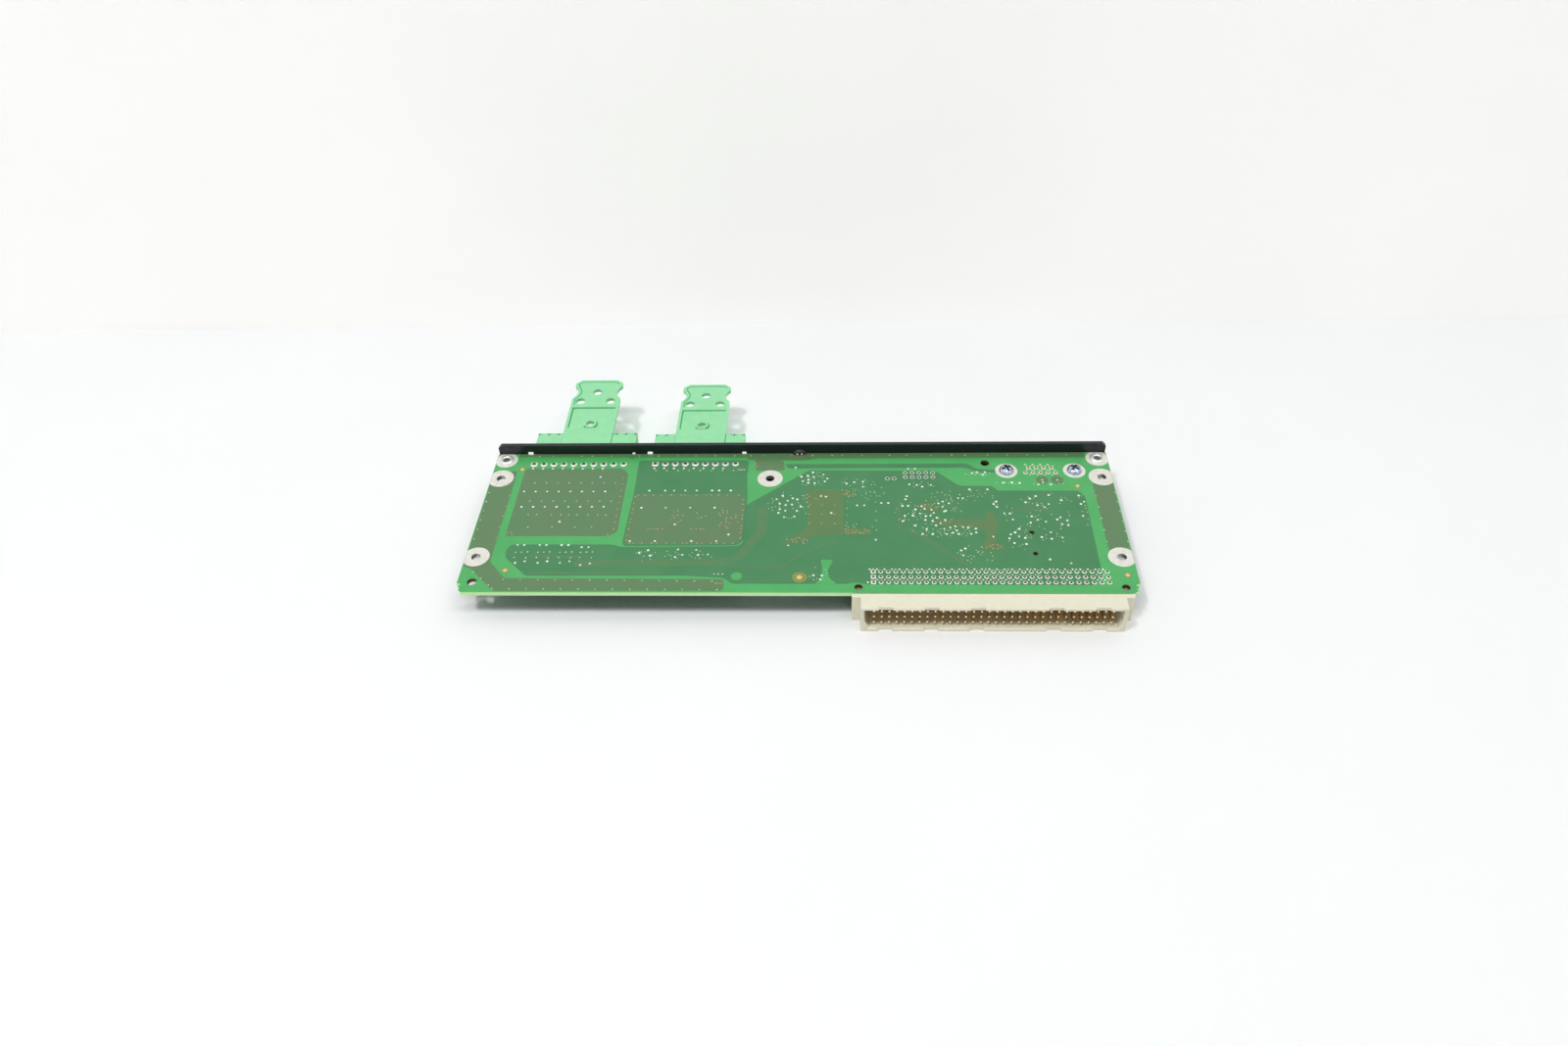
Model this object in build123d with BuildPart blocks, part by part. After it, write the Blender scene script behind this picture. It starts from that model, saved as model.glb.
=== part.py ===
from build123d import *
from math import cos, radians, sin
import os

# Encoder interface card, lying with its solder side up.
# X runs along the front panel, Y points out through the panel, Z is up.
# The origin is the middle of the panel's lower edge, which the card stands on.
# All sizes are in millimetres.

# Circuit board
board_width = 231.0
board_depth = 74.0
board_thickness = 1.6
left_end_x = -board_width / 2
right_end_x = board_width / 2
corner_chamfer = 1.4
relief_depth = 0.9
relief_length = 4.3
perforation_radius = 0.5
perforation_pitch = 1.9
perforation_inset = 2.65

# Front panel
panel_end_gap = 0.3
panel_width = board_width - 2 * panel_end_gap
panel_height = 20.0
panel_thickness = 1.5
panel_above_board = 4.0
panel_corner_cut = 1.2
panel_clearance = 0.2
panel_inner_y = -panel_thickness / 2
panel_outer_y = panel_thickness / 2
board_back_y = panel_inner_y - panel_clearance
board_front_y = board_back_y - board_depth
cutout_clearance = 0.3
dsub_cutout_clearance = 0.5

# Holes that only pass through the board
mounting_hole_radius = 1.6
mounting_end_inset = 3.8
mounting_hole_spacing_x = board_width - 2 * mounting_end_inset
mounting_hole_spacing_y = 42.4
mounting_row_inset = 17.2
centre_hole_x = -10.4
centre_hole_inset = 59.2
tooling_hole_radius = 1.7
tooling_hole_x = left_end_x + 5.1
tooling_hole_inset = 4.95
guide_hole_radius = 1.65
guide_hole_x = right_end_x - 45.8
guide_hole_inset = 67.85
peg_hole_radius = 0.9
peg_hole_x = right_end_x - 32.85
peg_hole_inset = 18.9
peg_hole_pitch = 10.7
test_header_columns = 5
test_header_x = right_end_x - 70.65
test_header_inset = 61.0

# Contacts and their holes
pitch = 2.54
pin_width = 0.6
pin_hole_clearance = 0.15
pin_stand_out = 0.5

# Sides of round features: small ones in sight, and those that other pieces cover
small_sides = 16
covered_sides = 8

# Backplane connector
backplane_x = right_end_x - 49.4
backplane_columns = 32
backplane_rows = "abc"
row_a_inset = 4.9
row_a_drop = 2.89
contact_tip_reach = 5.8
shroud_width = 87.6
shroud_height = 10.7
shroud_drop = 0.1
shroud_reach = 7.4
shroud_wall = 1.2
mouth_floor_inset = 0.2
mouth_key_width = 1.2
mouth_key_height = 3.6
mouth_lead_in = 0.4
shell_edge_gap = 0.4
shell_rear_inset = 3.8
notch_columns = (1.5, 7.5, 13.5, 23.5, 29.5)
notch_width = 4.9
notch_depth = 0.8
lug_span = 93.4
lug_width = 5.0
lug_height = 11.1
lug_reach = 2.05
lug_rear_inset = 5.5
fixing_spacing = 88.9
fixing_inset = 2.6
fixing_hole_radius = 1.4

# Terminal blocks: number of ways, middle, and how far the plug leans out of level
terminal_pitch = 3.81
terminal_blocks = ((10, left_end_x + 31.97, 0.9), (9, left_end_x + 76.45, -2.1))
terminal_end_margin = 5.2
terminal_row_inset = 6.2
terminal_pin_width = 0.8
header_height = 7.25
header_back = 1.25
header_face_proud = 0.1
header_wall = 0.7
header_back_wall = 2.5
header_pin_reach = 6.0

# Terminal plugs
plug_height = 11.1
plug_flat_drop = 0.2
plug_end = 16.8
plug_side_gap = 0.25
plug_gap = 0.4
plug_edge_chamfer = 0.8
plug_foot_chamfer = 2.4
nose_tip_gap = 0.4
nose_height = 5.3
nose_side_gap = 0.5
socket_width = 1.6
wire_entry_width = 2.9
wire_entry_height = 3.3
wire_entry_depth = 8.0
wire_entry_drop = 4.65
clamp_wall = 0.45
clamp_length = 5.0
clamp_inset = 2.0
screw_well_radius = 1.35
clamp_screw_radius = 1.2
clamp_screw_recess = 0.8

# Strain relief plates, measured from the plug's wire side
relief_width = 19.7
relief_thickness = 1.4
relief_clip_thickness = 1.1
relief_side_gap = 0.1
relief_straight = 22.3
relief_neck_width = 16.1
relief_neck = 26.4
relief_head_width = 19.5
relief_head = 30.2
relief_shoulder = 32.4
relief_end = 34.5
relief_end_width = 14.6
relief_rim = 1.1
relief_pocket_depth = 0.45
lower_pocket_start = 3.1
lower_pocket_end = 16.3
head_pocket_start = 17.9
head_pocket_depth = 0.3
tie_hole_radius = 1.9
tie_hole_spacing = 12.2
tie_hole_row = 20.4
eye_position = 5.7
eye_radius = 1.7
eye_collar_radius = 2.8

# Nine-way connector behind the panel
dsub_x = right_end_x - 25.8
dsub_drop = 6.3
dsub_screw_spacing = 25.0
dsub_screw_inset = 10.95
dsub_pitch = 2.77
dsub_row_height = 2.84
dsub_near_inset = 9.25
dsub_far_inset = 12.0
dsub_flange_width = 30.8
dsub_flange_height = 12.5
dsub_flange_thickness = 0.8
dsub_collar_width = 16.9
dsub_collar_height = 8.3
dsub_collar_wall = 0.5
dsub_collar_reach = 6.2
dsub_corner = 2.2
dsub_side_angle = 80
dsub_flange_corner = 1.0
dsub_body_width = 19.0
dsub_body_depth = 7.4
dsub_socket_radius = 0.55
dsub_socket_depth = 1.5
dsub_bracket_width = 5.4
dsub_bracket_thickness = 1.2
jack_across_flats = 4.8
jack_length = 5.0
jack_bore_radius = 1.15
jack_bore_depth = 4.0
jack_shank_radius = 1.4
jack_shank_length = 4.0
board_screw_head_radius = 2.8
board_screw_head_height = 2.0
board_screw_round = 0.8
board_screw_radius = 1.3
board_screw_length = 5.5
screw_clearance = 0.1

# Panel brackets, their rivets and screws
rivet_end_inset = 3.86
rivet_spacing = board_width - 2 * rivet_end_inset
rivet_inset = 3.7
rivet_head_radius = 2.75
rivet_head_height = 0.7
rivet_head_chamfer = 0.4
rivet_radius = 1.6
rivet_bore_radius = 1.25
rivet_flare_radius = 2.3
rivet_flare_height = 0.4
bracket_width = 7.0
bracket_foot = 7.6
bracket_leg = 10.5
bracket_thickness = 1.2
bracket_screw_drop = 6.4
panel_screw_radius = 1.15
panel_screw_length = 3.4
panel_screw_head_radius = 2.3
panel_screw_head_height = 1.5
panel_screw_head_chamfer = 0.5

# Indicator at the middle of the back edge
indicator_x = 0.27
indicator_drop = 1.0
indicator_notch_radius = 4.4
indicator_notch_depth = 1.5
indicator_radius = 2.9
indicator_body = 1.0
indicator_body_round = 0.7
indicator_neck_radius = 2.0
indicator_lip_radius = 2.5
indicator_lip = 0.6
indicator_lens_radius = 1.5
indicator_lens_reach = 2.0
indicator_lens_chamfer = 0.8
lead_spacing = 1.64
lead_width = 0.45
lead_foot = 2.4

# Component side: name, length, width, height, edge chamfer, and the middle of each body.
# Each middle lies a given way in from the near end of the board and from its front edge.
logic_packages = (
    ("logic_array", 28.0, 28.0, 3.4, 0.5, ((-1.0, board_front_y + 36.95),)),
    ("processor", 20.0, 20.0, 2.7, 0.4, ((right_end_x - 69.5, board_front_y + 34.95),)),
    ("memory_chips", 18.4, 7.6, 2.7, 0.3,
     [(right_end_x - 91.5, board_front_y + inset) for inset in (47.95, 34.95, 21.95)]),
    ("line_drivers", 10.3, 7.5, 2.4, 0.3,
     [(right_end_x - reach, board_front_y + inset)
      for reach in (43.5, 25.5) for inset in (42.45, 30.95)]),
    ("isolation_couplers", 9.8, 6.4, 3.6, 0.4,
     [(left_end_x + reach, board_front_y + inset)
      for reach in (18.5, 30.0, 41.5) for inset in (43.95, 31.95)]),
    ("line_receivers", 8.7, 3.9, 1.6, 0.2,
     [(left_end_x + reach, board_front_y + 14.95) for reach in (23.5, 35.5, 47.5, 71.5, 83.5)]),
    ("tantalum_capacitors", 7.3, 4.3, 2.9, 0.3,
     [(left_end_x + reach, board_front_y + 52.95) for reach in (83.5, 95.5)]
     + [(right_end_x - reach, board_front_y + 16.95) for reach in (75.5, 63.5, 51.5)]
     + [(right_end_x - 11.5, board_front_y + 24.95)]),
)
converter_length = 31.8
converter_width = 20.3
converter_height = 10.2
converter_x = left_end_x + 77.0
converter_y = board_front_y + 35.95
converter_corner = 1.0
converter_edge = 0.5
oscillator_length = 20.4
oscillator_width = 12.8
oscillator_height = 5.3
oscillator_corner = 2.0
oscillator_edge = 0.6
oscillator_x = right_end_x - 52.5
oscillator_y = board_front_y + 53.95
capacitor_radius = 4.0
capacitor_height = 10.0
capacitor_base = 8.3
capacitor_base_height = 0.9
capacitor_places = (
    (-15.0, board_front_y + 14.95),
    (-3.0, board_front_y + 14.95),
    (right_end_x - 12.5, board_front_y + 44.95),
)
coil_size = 12.5
coil_height = 6.0
coil_radius = 5.4
coil_base_height = 1.2
coil_corner = 2.1
coil_places = [(left_end_x + 54.5, board_front_y + inset) for inset in (48.95, 23.45)]

# Levels and edges that follow from the sizes above
solder_z = panel_height - panel_above_board
component_z = solder_z - board_thickness
row_a_y = board_front_y + row_a_inset
terminal_row_y = board_back_y - terminal_row_inset
header_front_y = panel_outer_y + header_face_proud
dsub_z = component_z - dsub_drop
rivet_y = board_back_y - rivet_inset


def across(y):
    """A plane that stands across the card at y, drawn in x and z."""
    return Plane.XZ.offset(-y)


def block_width(ways):
    return (ways - 1) * terminal_pitch + terminal_end_margin


def small_round(radius, mode=Mode.ADD):
    """A small round feature in sight."""
    return RegularPolygon(radius, small_sides, mode=mode)


def covered_hole(radius, mode=Mode.ADD):
    """A covered hole, which clears a shank of this radius."""
    return RegularPolygon(radius, covered_sides, major_radius=False, mode=mode)


def covered_shank(radius):
    """A covered shank, no wider than this radius."""
    return RegularPolygon(radius, covered_sides)


def pin_columns(centre, count, step):
    """The x of the left side of each pin in a row."""
    first = centre - (count - 1) * step / 2
    return [first + step * n - pin_width / 2 for n in range(count)]


os.makedirs("parts", exist_ok=True)

# Circuit board, with every drilled hole and the snapped corners of its frame
mounting_y = board_front_y + mounting_row_inset + mounting_hole_spacing_y / 2
fixing_y = board_front_y + fixing_inset
pin_hole = pin_width + 2 * pin_hole_clearance
with BuildPart() as circuit_board:
    with BuildSketch(Plane.XY.offset(component_z)) as outline:
        with Locations((0, board_front_y + board_depth / 2)):
            Rectangle(board_width, board_depth)
        with Locations(
            (-board_width / 2, board_front_y),
            (board_width / 2, board_front_y),
        ):
            Rectangle(2 * relief_depth, 2 * relief_length, mode=Mode.SUBTRACT)
        chamfer(outline.vertices().group_by(Axis.Y)[0], corner_chamfer)
        edge_x = board_width / 2 - relief_depth
        for side in (-edge_x, edge_x):
            with Locations((side, board_front_y + perforation_inset)):
                with GridLocations(1, perforation_pitch, 1, 2):
                    covered_hole(perforation_radius, Mode.SUBTRACT)
        with Locations((0, mounting_y)):
            with GridLocations(mounting_hole_spacing_x, mounting_hole_spacing_y, 2, 2):
                Circle(mounting_hole_radius, mode=Mode.SUBTRACT)
        with Locations((centre_hole_x, board_front_y + centre_hole_inset)):
            Circle(mounting_hole_radius, mode=Mode.SUBTRACT)
        with Locations((tooling_hole_x, board_front_y + tooling_hole_inset)):
            small_round(tooling_hole_radius, Mode.SUBTRACT)
        with Locations((guide_hole_x, board_front_y + guide_hole_inset)):
            small_round(guide_hole_radius, Mode.SUBTRACT)
        with Locations((peg_hole_x, board_front_y + peg_hole_inset + peg_hole_pitch / 2)):
            with GridLocations(1, peg_hole_pitch, 1, 2):
                covered_hole(peg_hole_radius, Mode.SUBTRACT)
        with Locations((backplane_x, fixing_y)):
            with GridLocations(fixing_spacing, 1, 2, 1):
                Circle(fixing_hole_radius, mode=Mode.SUBTRACT)
        with Locations((0, rivet_y)):
            with GridLocations(rivet_spacing, 1, 2, 1):
                covered_hole(rivet_radius + screw_clearance, Mode.SUBTRACT)
        with Locations((dsub_x, panel_inner_y - dsub_screw_inset)):
            with GridLocations(dsub_screw_spacing, 1, 2, 1):
                covered_hole(board_screw_radius + screw_clearance, Mode.SUBTRACT)
        notch_y = board_back_y - indicator_notch_depth + indicator_notch_radius
        with Locations((indicator_x, notch_y)):
            Circle(indicator_notch_radius, mode=Mode.SUBTRACT)
        with Locations((backplane_x, row_a_y + pitch)):
            with GridLocations(pitch, pitch, backplane_columns, len(backplane_rows)):
                Rectangle(pin_hole, pin_hole, mode=Mode.SUBTRACT)
        with Locations((test_header_x, board_front_y + test_header_inset)):
            with GridLocations(pitch, pitch, test_header_columns, 2):
                Rectangle(pin_hole, pin_hole, mode=Mode.SUBTRACT)
        for count, inset in ((4, dsub_near_inset), (5, dsub_far_inset)):
            with Locations((dsub_x, panel_inner_y - inset)):
                with GridLocations(dsub_pitch, 1, count, 1):
                    Rectangle(pin_hole, pin_hole, mode=Mode.SUBTRACT)
        terminal_hole = terminal_pin_width + 2 * pin_hole_clearance
        for ways, middle, lean in terminal_blocks:
            with Locations((middle, terminal_row_y)):
                with GridLocations(terminal_pitch, 1, ways, 1):
                    Rectangle(terminal_hole, terminal_hole, mode=Mode.SUBTRACT)
    extrude(amount=board_thickness)
circuit_board.part.label = "circuit_board"
export_step(circuit_board.part, "parts/circuit_board.step")

# Front panel, a flat black sheet with its connector cut-outs
header_mid_z = component_z - header_height / 2
panel_screw_z = component_z - bracket_screw_drop
indicator_z = solder_z - indicator_drop
with BuildPart() as front_panel:
    with BuildSketch(across(panel_inner_y)) as sheet:
        with Locations((0, panel_height / 2)):
            Rectangle(panel_width, panel_height)
        chamfer(sheet.vertices(), panel_corner_cut)
        cut_top = solder_z - cutout_clearance
        cut_bottom = component_z - header_height - cutout_clearance
        cut_height = cut_top - cut_bottom
        for ways, middle, lean in terminal_blocks:
            cut_width = block_width(ways) + 2 * cutout_clearance
            with Locations((middle, cut_bottom + cut_height / 2)):
                Rectangle(cut_width, cut_height, mode=Mode.SUBTRACT)
        with Locations((dsub_x, dsub_z)):
            Trapezoid(
                dsub_collar_width + 2 * dsub_cutout_clearance,
                dsub_collar_height + 2 * dsub_cutout_clearance,
                dsub_side_angle,
                mode=Mode.SUBTRACT,
            )
            with GridLocations(dsub_screw_spacing, 1, 2, 1):
                covered_hole(jack_shank_radius + screw_clearance, Mode.SUBTRACT)
        with Locations((indicator_x, indicator_z)):
            covered_hole(indicator_neck_radius + screw_clearance, Mode.SUBTRACT)
        with Locations((0, panel_screw_z)):
            with GridLocations(rivet_spacing, 1, 2, 1):
                covered_hole(panel_screw_radius + screw_clearance, Mode.SUBTRACT)
    extrude(amount=-panel_thickness)
front_panel.part.label = "front_panel"
export_step(front_panel.part, "parts/front_panel.step")

# Panel brackets, folded from sheet: a foot under the board and a leg on the panel
for name, side in (("panel_bracket_left", -1), ("panel_bracket_right", 1)):
    bracket_x = side * rivet_spacing / 2
    with BuildPart() as bracket:
        with BuildSketch(Plane.YZ.offset(bracket_x)):
            with BuildLine():
                Polyline(
                    (panel_inner_y, component_z),
                    (panel_inner_y - bracket_foot, component_z),
                    (panel_inner_y - bracket_foot, component_z - bracket_thickness),
                    (panel_inner_y - bracket_thickness, component_z - bracket_thickness),
                    (panel_inner_y - bracket_thickness, component_z - bracket_leg),
                    (panel_inner_y, component_z - bracket_leg),
                    close=True,
                )
            make_face()
        extrude(amount=bracket_width / 2, both=True)
        with BuildSketch(Plane.XY.offset(component_z)):
            with Locations((bracket_x, rivet_y)):
                covered_hole(rivet_radius + screw_clearance)
        extrude(amount=-bracket_thickness, mode=Mode.SUBTRACT)
        with BuildSketch(across(panel_inner_y)):
            with Locations((bracket_x, panel_screw_z)):
                covered_hole(panel_screw_radius + screw_clearance)
        extrude(amount=bracket_thickness, mode=Mode.SUBTRACT)
    bracket.part.label = name
    export_step(bracket.part, f"parts/{name}.step")

# Tubular rivets that clamp the board between their heads and the bracket feet
rivet_length = rivet_head_height + board_thickness + bracket_thickness + rivet_flare_height
with BuildPart() as bracket_rivets:
    for side in (-1, 1):
        rivet_seat = Plane(origin=(side * rivet_spacing / 2, rivet_y, solder_z))
        with BuildSketch(rivet_seat):
            small_round(rivet_head_radius)
        extrude(amount=rivet_head_height)
        with BuildSketch(rivet_seat):
            covered_shank(rivet_radius)
        extrude(amount=-(board_thickness + bracket_thickness))
        with BuildSketch(rivet_seat.offset(-(board_thickness + bracket_thickness))):
            covered_shank(rivet_flare_radius)
        extrude(amount=-rivet_flare_height)
        with BuildSketch(rivet_seat.offset(rivet_head_height)):
            small_round(rivet_bore_radius)
        extrude(amount=-rivet_length, mode=Mode.SUBTRACT)
    crowns = bracket_rivets.faces().sort_by(Axis.Z)[-2:]
    for crown in crowns:
        chamfer(crown.outer_wire().edges(), rivet_head_chamfer)
bracket_rivets.part.label = "bracket_rivets"
export_step(bracket_rivets.part, "parts/bracket_rivets.step")

# Pan-head screws through the panel into the brackets
with BuildPart() as panel_screws:
    for side in (-1, 1):
        with BuildSketch(across(panel_outer_y)):
            with Locations((side * rivet_spacing / 2, panel_screw_z)):
                small_round(panel_screw_head_radius)
        extrude(amount=-panel_screw_head_height)
        with BuildSketch(across(panel_outer_y)):
            with Locations((side * rivet_spacing / 2, panel_screw_z)):
                covered_shank(panel_screw_radius)
        extrude(amount=panel_screw_length)
    heads = panel_screws.faces().sort_by(Axis.Y)[-2:]
    chamfer(heads.edges(), panel_screw_head_chamfer)
panel_screws.part.label = "panel_screws"
export_step(panel_screws.part, "parts/panel_screws.step")

# Backplane connector shell: an open shroud in front of the board, a block under its
# edge that holds the contacts, and an end lug with a fixing hole on each side
shroud_front_y = board_front_y - shroud_reach
shroud_top_z = solder_z - shroud_drop
shroud_bottom_z = shroud_top_z - shroud_height
step_y = board_front_y - shell_edge_gap
contact_mid_z = solder_z - row_a_drop - pitch
mouth_floor_y = board_front_y + mouth_floor_inset
shell_rear_y = board_front_y + shell_rear_inset
with BuildPart() as backplane_shell:
    with BuildSketch(Plane.YZ.offset(backplane_x)):
        with BuildLine():
            Polyline(
                (shroud_front_y, shroud_top_z),
                (step_y, shroud_top_z),
                (step_y, component_z),
                (shell_rear_y, component_z),
                (shell_rear_y, shroud_bottom_z),
                (shroud_front_y, shroud_bottom_z),
                close=True,
            )
        make_face()
    extrude(amount=shroud_width / 2, both=True)
    lug_mid = (lug_span - lug_width) / 2
    with BuildSketch(
        Plane.YZ.offset(backplane_x - lug_mid),
        Plane.YZ.offset(backplane_x + lug_mid),
    ):
        with BuildLine():
            Polyline(
                (board_front_y - lug_reach, shroud_top_z),
                (step_y, shroud_top_z),
                (step_y, component_z),
                (board_front_y + lug_rear_inset, component_z),
                (board_front_y + lug_rear_inset, shroud_top_z - lug_height / 2),
                (shell_rear_y, shroud_top_z - lug_height),
                (board_front_y - lug_reach, shroud_top_z - lug_height),
                close=True,
            )
        make_face()
    extrude(amount=lug_width / 2, both=True)
    half_mouth = shroud_width / 2 - shroud_wall
    mouth_top = shroud_top_z - shroud_wall
    mouth_bottom = shroud_bottom_z + shroud_wall
    with BuildSketch(across(shroud_front_y)):
        with BuildLine():
            Polyline(
                (backplane_x - half_mouth, mouth_top),
                (backplane_x + half_mouth, mouth_top),
                (backplane_x + half_mouth, mouth_bottom + mouth_key_height),
                (backplane_x + half_mouth - mouth_key_width, mouth_bottom),
                (backplane_x - half_mouth + mouth_key_width, mouth_bottom),
                (backplane_x - half_mouth, mouth_bottom + mouth_key_height),
                close=True,
            )
        make_face()
    extrude(amount=shroud_front_y - mouth_floor_y, mode=Mode.SUBTRACT)
    front_rim = backplane_shell.faces().sort_by(Axis.Y)[0]
    chamfer(front_rim.inner_wires()[0].edges(), mouth_lead_in)
    first_column_x = backplane_x - (backplane_columns - 1) * pitch / 2
    with BuildSketch(across(shroud_front_y)):
        for column in notch_columns:
            for rim_z in (shroud_top_z, shroud_bottom_z):
                with Locations((first_column_x + column * pitch, rim_z)):
                    Rectangle(notch_width, 2 * (shroud_wall + mouth_lead_in))
    extrude(amount=-notch_depth, mode=Mode.SUBTRACT)
    with BuildSketch(across(mouth_floor_y)):
        with Locations((backplane_x, contact_mid_z)):
            with GridLocations(pitch, 1, backplane_columns, 1):
                Rectangle(pin_width, (len(backplane_rows) - 1) * pitch + pin_width)
    extrude(amount=mouth_floor_y - shell_rear_y, mode=Mode.SUBTRACT)
    with BuildSketch(Plane.XY.offset(component_z)):
        with Locations((backplane_x, fixing_y)):
            with GridLocations(fixing_spacing, 1, 2, 1):
                Circle(fixing_hole_radius)
    extrude(amount=-shroud_height, mode=Mode.SUBTRACT)
backplane_shell.part.label = "backplane_shell"
export_step(backplane_shell.part, "parts/backplane_shell.step")

# Backplane contacts: straight pins in the mouth, bent up through the board behind the shell
column_x = pin_columns(backplane_x, backplane_columns, pitch)
half_pin = pin_width / 2
tip_y = board_front_y - contact_tip_reach
for row, letter in enumerate(backplane_rows):
    row_z = solder_z - row_a_drop - row * pitch
    tail_y = row_a_y + row * pitch
    with BuildPart() as contacts:
        with BuildSketch(*[Plane.YZ.offset(x) for x in column_x]):
            with BuildLine():
                Polyline(
                    (tip_y, row_z - half_pin),
                    (tail_y + half_pin, row_z - half_pin),
                    (tail_y + half_pin, solder_z + pin_stand_out),
                    (tail_y - half_pin, solder_z + pin_stand_out),
                    (tail_y - half_pin, row_z + half_pin),
                    (tip_y, row_z + half_pin),
                    close=True,
                )
            make_face()
        extrude(amount=pin_width)
    contacts.part.label = f"contacts_row_{letter}"
    export_step(contacts.part, f"parts/contacts_row_{letter}.step")

# Terminal headers and plugs, one set for each block
header_back_y = terminal_row_y - header_back
header_depth = header_front_y - header_back_y
cavity_depth = header_depth - header_back_wall
cavity_height = header_height - 2 * header_wall
header_pin_tip_y = terminal_row_y + header_pin_reach
half_terminal_pin = terminal_pin_width / 2
nose_depth = cavity_depth - nose_tip_gap
nose_mid_y = header_front_y - nose_depth / 2
for ways, middle, lean in terminal_blocks:
    # Header: a box open towards the panel, slotted at the back for its bent pins
    width = block_width(ways)
    with BuildPart() as header:
        with BuildSketch(across(header_front_y)):
            with Locations((middle, header_mid_z)):
                Rectangle(width, header_height)
        extrude(amount=header_depth)
        with BuildSketch(across(header_front_y)):
            with Locations((middle, header_mid_z)):
                Rectangle(width - 2 * header_wall, cavity_height)
        extrude(amount=cavity_depth, mode=Mode.SUBTRACT)
        with BuildSketch(Plane.XY.offset(component_z)):
            slot_front_y = terminal_row_y + half_terminal_pin
            with Locations((middle, (header_back_y + slot_front_y) / 2)):
                with GridLocations(terminal_pitch, 1, ways, 1):
                    Rectangle(terminal_pin_width, slot_front_y - header_back_y)
        extrude(amount=-(header_height / 2 + half_terminal_pin), mode=Mode.SUBTRACT)
        with BuildSketch(across(header_front_y - cavity_depth)):
            with Locations((middle, header_mid_z)):
                with GridLocations(terminal_pitch, 1, ways, 1):
                    Rectangle(terminal_pin_width, terminal_pin_width)
        extrude(amount=header_back_wall - header_back, mode=Mode.SUBTRACT)
    header.part.label = f"terminal_header_{ways}"
    export_step(header.part, f"parts/terminal_header_{ways}.step")

    # Header pins: bent square wire, one for each way
    first_pin_x = middle - (ways - 1) * terminal_pitch / 2 - half_terminal_pin
    with BuildPart() as header_pins:
        with BuildSketch(*[Plane.YZ.offset(first_pin_x + n * terminal_pitch) for n in range(ways)]):
            with BuildLine():
                Polyline(
                    (header_pin_tip_y, header_mid_z - half_terminal_pin),
                    (header_pin_tip_y, header_mid_z + half_terminal_pin),
                    (terminal_row_y + half_terminal_pin, header_mid_z + half_terminal_pin),
                    (terminal_row_y + half_terminal_pin, solder_z + pin_stand_out),
                    (terminal_row_y - half_terminal_pin, solder_z + pin_stand_out),
                    (terminal_row_y - half_terminal_pin, header_mid_z - half_terminal_pin),
                    close=True,
                )
            make_face()
        extrude(amount=terminal_pin_width)
    header_pins.part.label = f"header_pins_{ways}"
    export_step(header_pins.part, f"parts/header_pins_{ways}.step")

    # Plug: its own frame leans with it, with the origin in the middle of the nose
    leaning = Plane(
        origin=(middle, nose_mid_y, header_mid_z),
        x_dir=(1, 0, 0),
        z_dir=(0, -sin(radians(lean)), cos(radians(lean))),
    )
    plug_across = Plane(leaning.origin, x_dir=leaning.x_dir, z_dir=-leaning.y_dir)
    plug_side = Plane(leaning.origin, x_dir=leaning.y_dir, z_dir=leaning.x_dir)
    flat_z = header_height / 2 - plug_flat_drop
    screw_side_z = flat_z - plug_height
    shoulder_y = nose_depth / 2 + plug_gap
    entry_z = flat_z - wire_entry_drop
    nose_width = width - 2 * header_wall - 2 * nose_side_gap
    screw_y = plug_end - clamp_inset - clamp_length / 2
    with BuildPart() as plug:
        with BuildSketch(plug_side):
            with BuildLine():
                Polyline(
                    (shoulder_y, flat_z),
                    (plug_end - plug_edge_chamfer / 2, flat_z),
                    (plug_end, flat_z - plug_edge_chamfer / 2),
                    (plug_end, screw_side_z + plug_edge_chamfer),
                    (plug_end - plug_edge_chamfer, screw_side_z),
                    (shoulder_y + plug_foot_chamfer, screw_side_z),
                    (shoulder_y, screw_side_z + plug_foot_chamfer),
                    close=True,
                )
            make_face()
        extrude(amount=width / 2 - plug_side_gap, both=True)
        with BuildSketch(plug_across.offset(-shoulder_y)):
            Rectangle(nose_width, nose_height)
        extrude(amount=shoulder_y + nose_depth / 2)
        with BuildSketch(plug_across.offset(nose_depth / 2)):
            with GridLocations(terminal_pitch, 1, ways, 1):
                Rectangle(socket_width, socket_width)
        extrude(amount=-nose_depth, mode=Mode.SUBTRACT)
        with BuildSketch(plug_across.offset(-plug_end)):
            with Locations((0, entry_z)):
                with GridLocations(terminal_pitch, 1, ways, 1):
                    Rectangle(wire_entry_width, wire_entry_height)
        extrude(amount=wire_entry_depth, mode=Mode.SUBTRACT)
        with BuildSketch(leaning.offset(screw_side_z)):
            with Locations((0, screw_y)):
                with GridLocations(terminal_pitch, 1, ways, 1):
                    covered_hole(screw_well_radius)
        extrude(amount=entry_z - wire_entry_height / 2 - screw_side_z, mode=Mode.SUBTRACT)
        with BuildSketch(leaning.offset(flat_z)):
            with Locations((0, (shoulder_y + plug_end) / 2)):
                Rectangle(relief_width + 2 * relief_side_gap, plug_end - shoulder_y)
        extrude(amount=-relief_clip_thickness, mode=Mode.SUBTRACT)
    plug.part.label = f"terminal_plug_{ways}"
    export_step(plug.part, f"parts/terminal_plug_{ways}.step")

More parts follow.
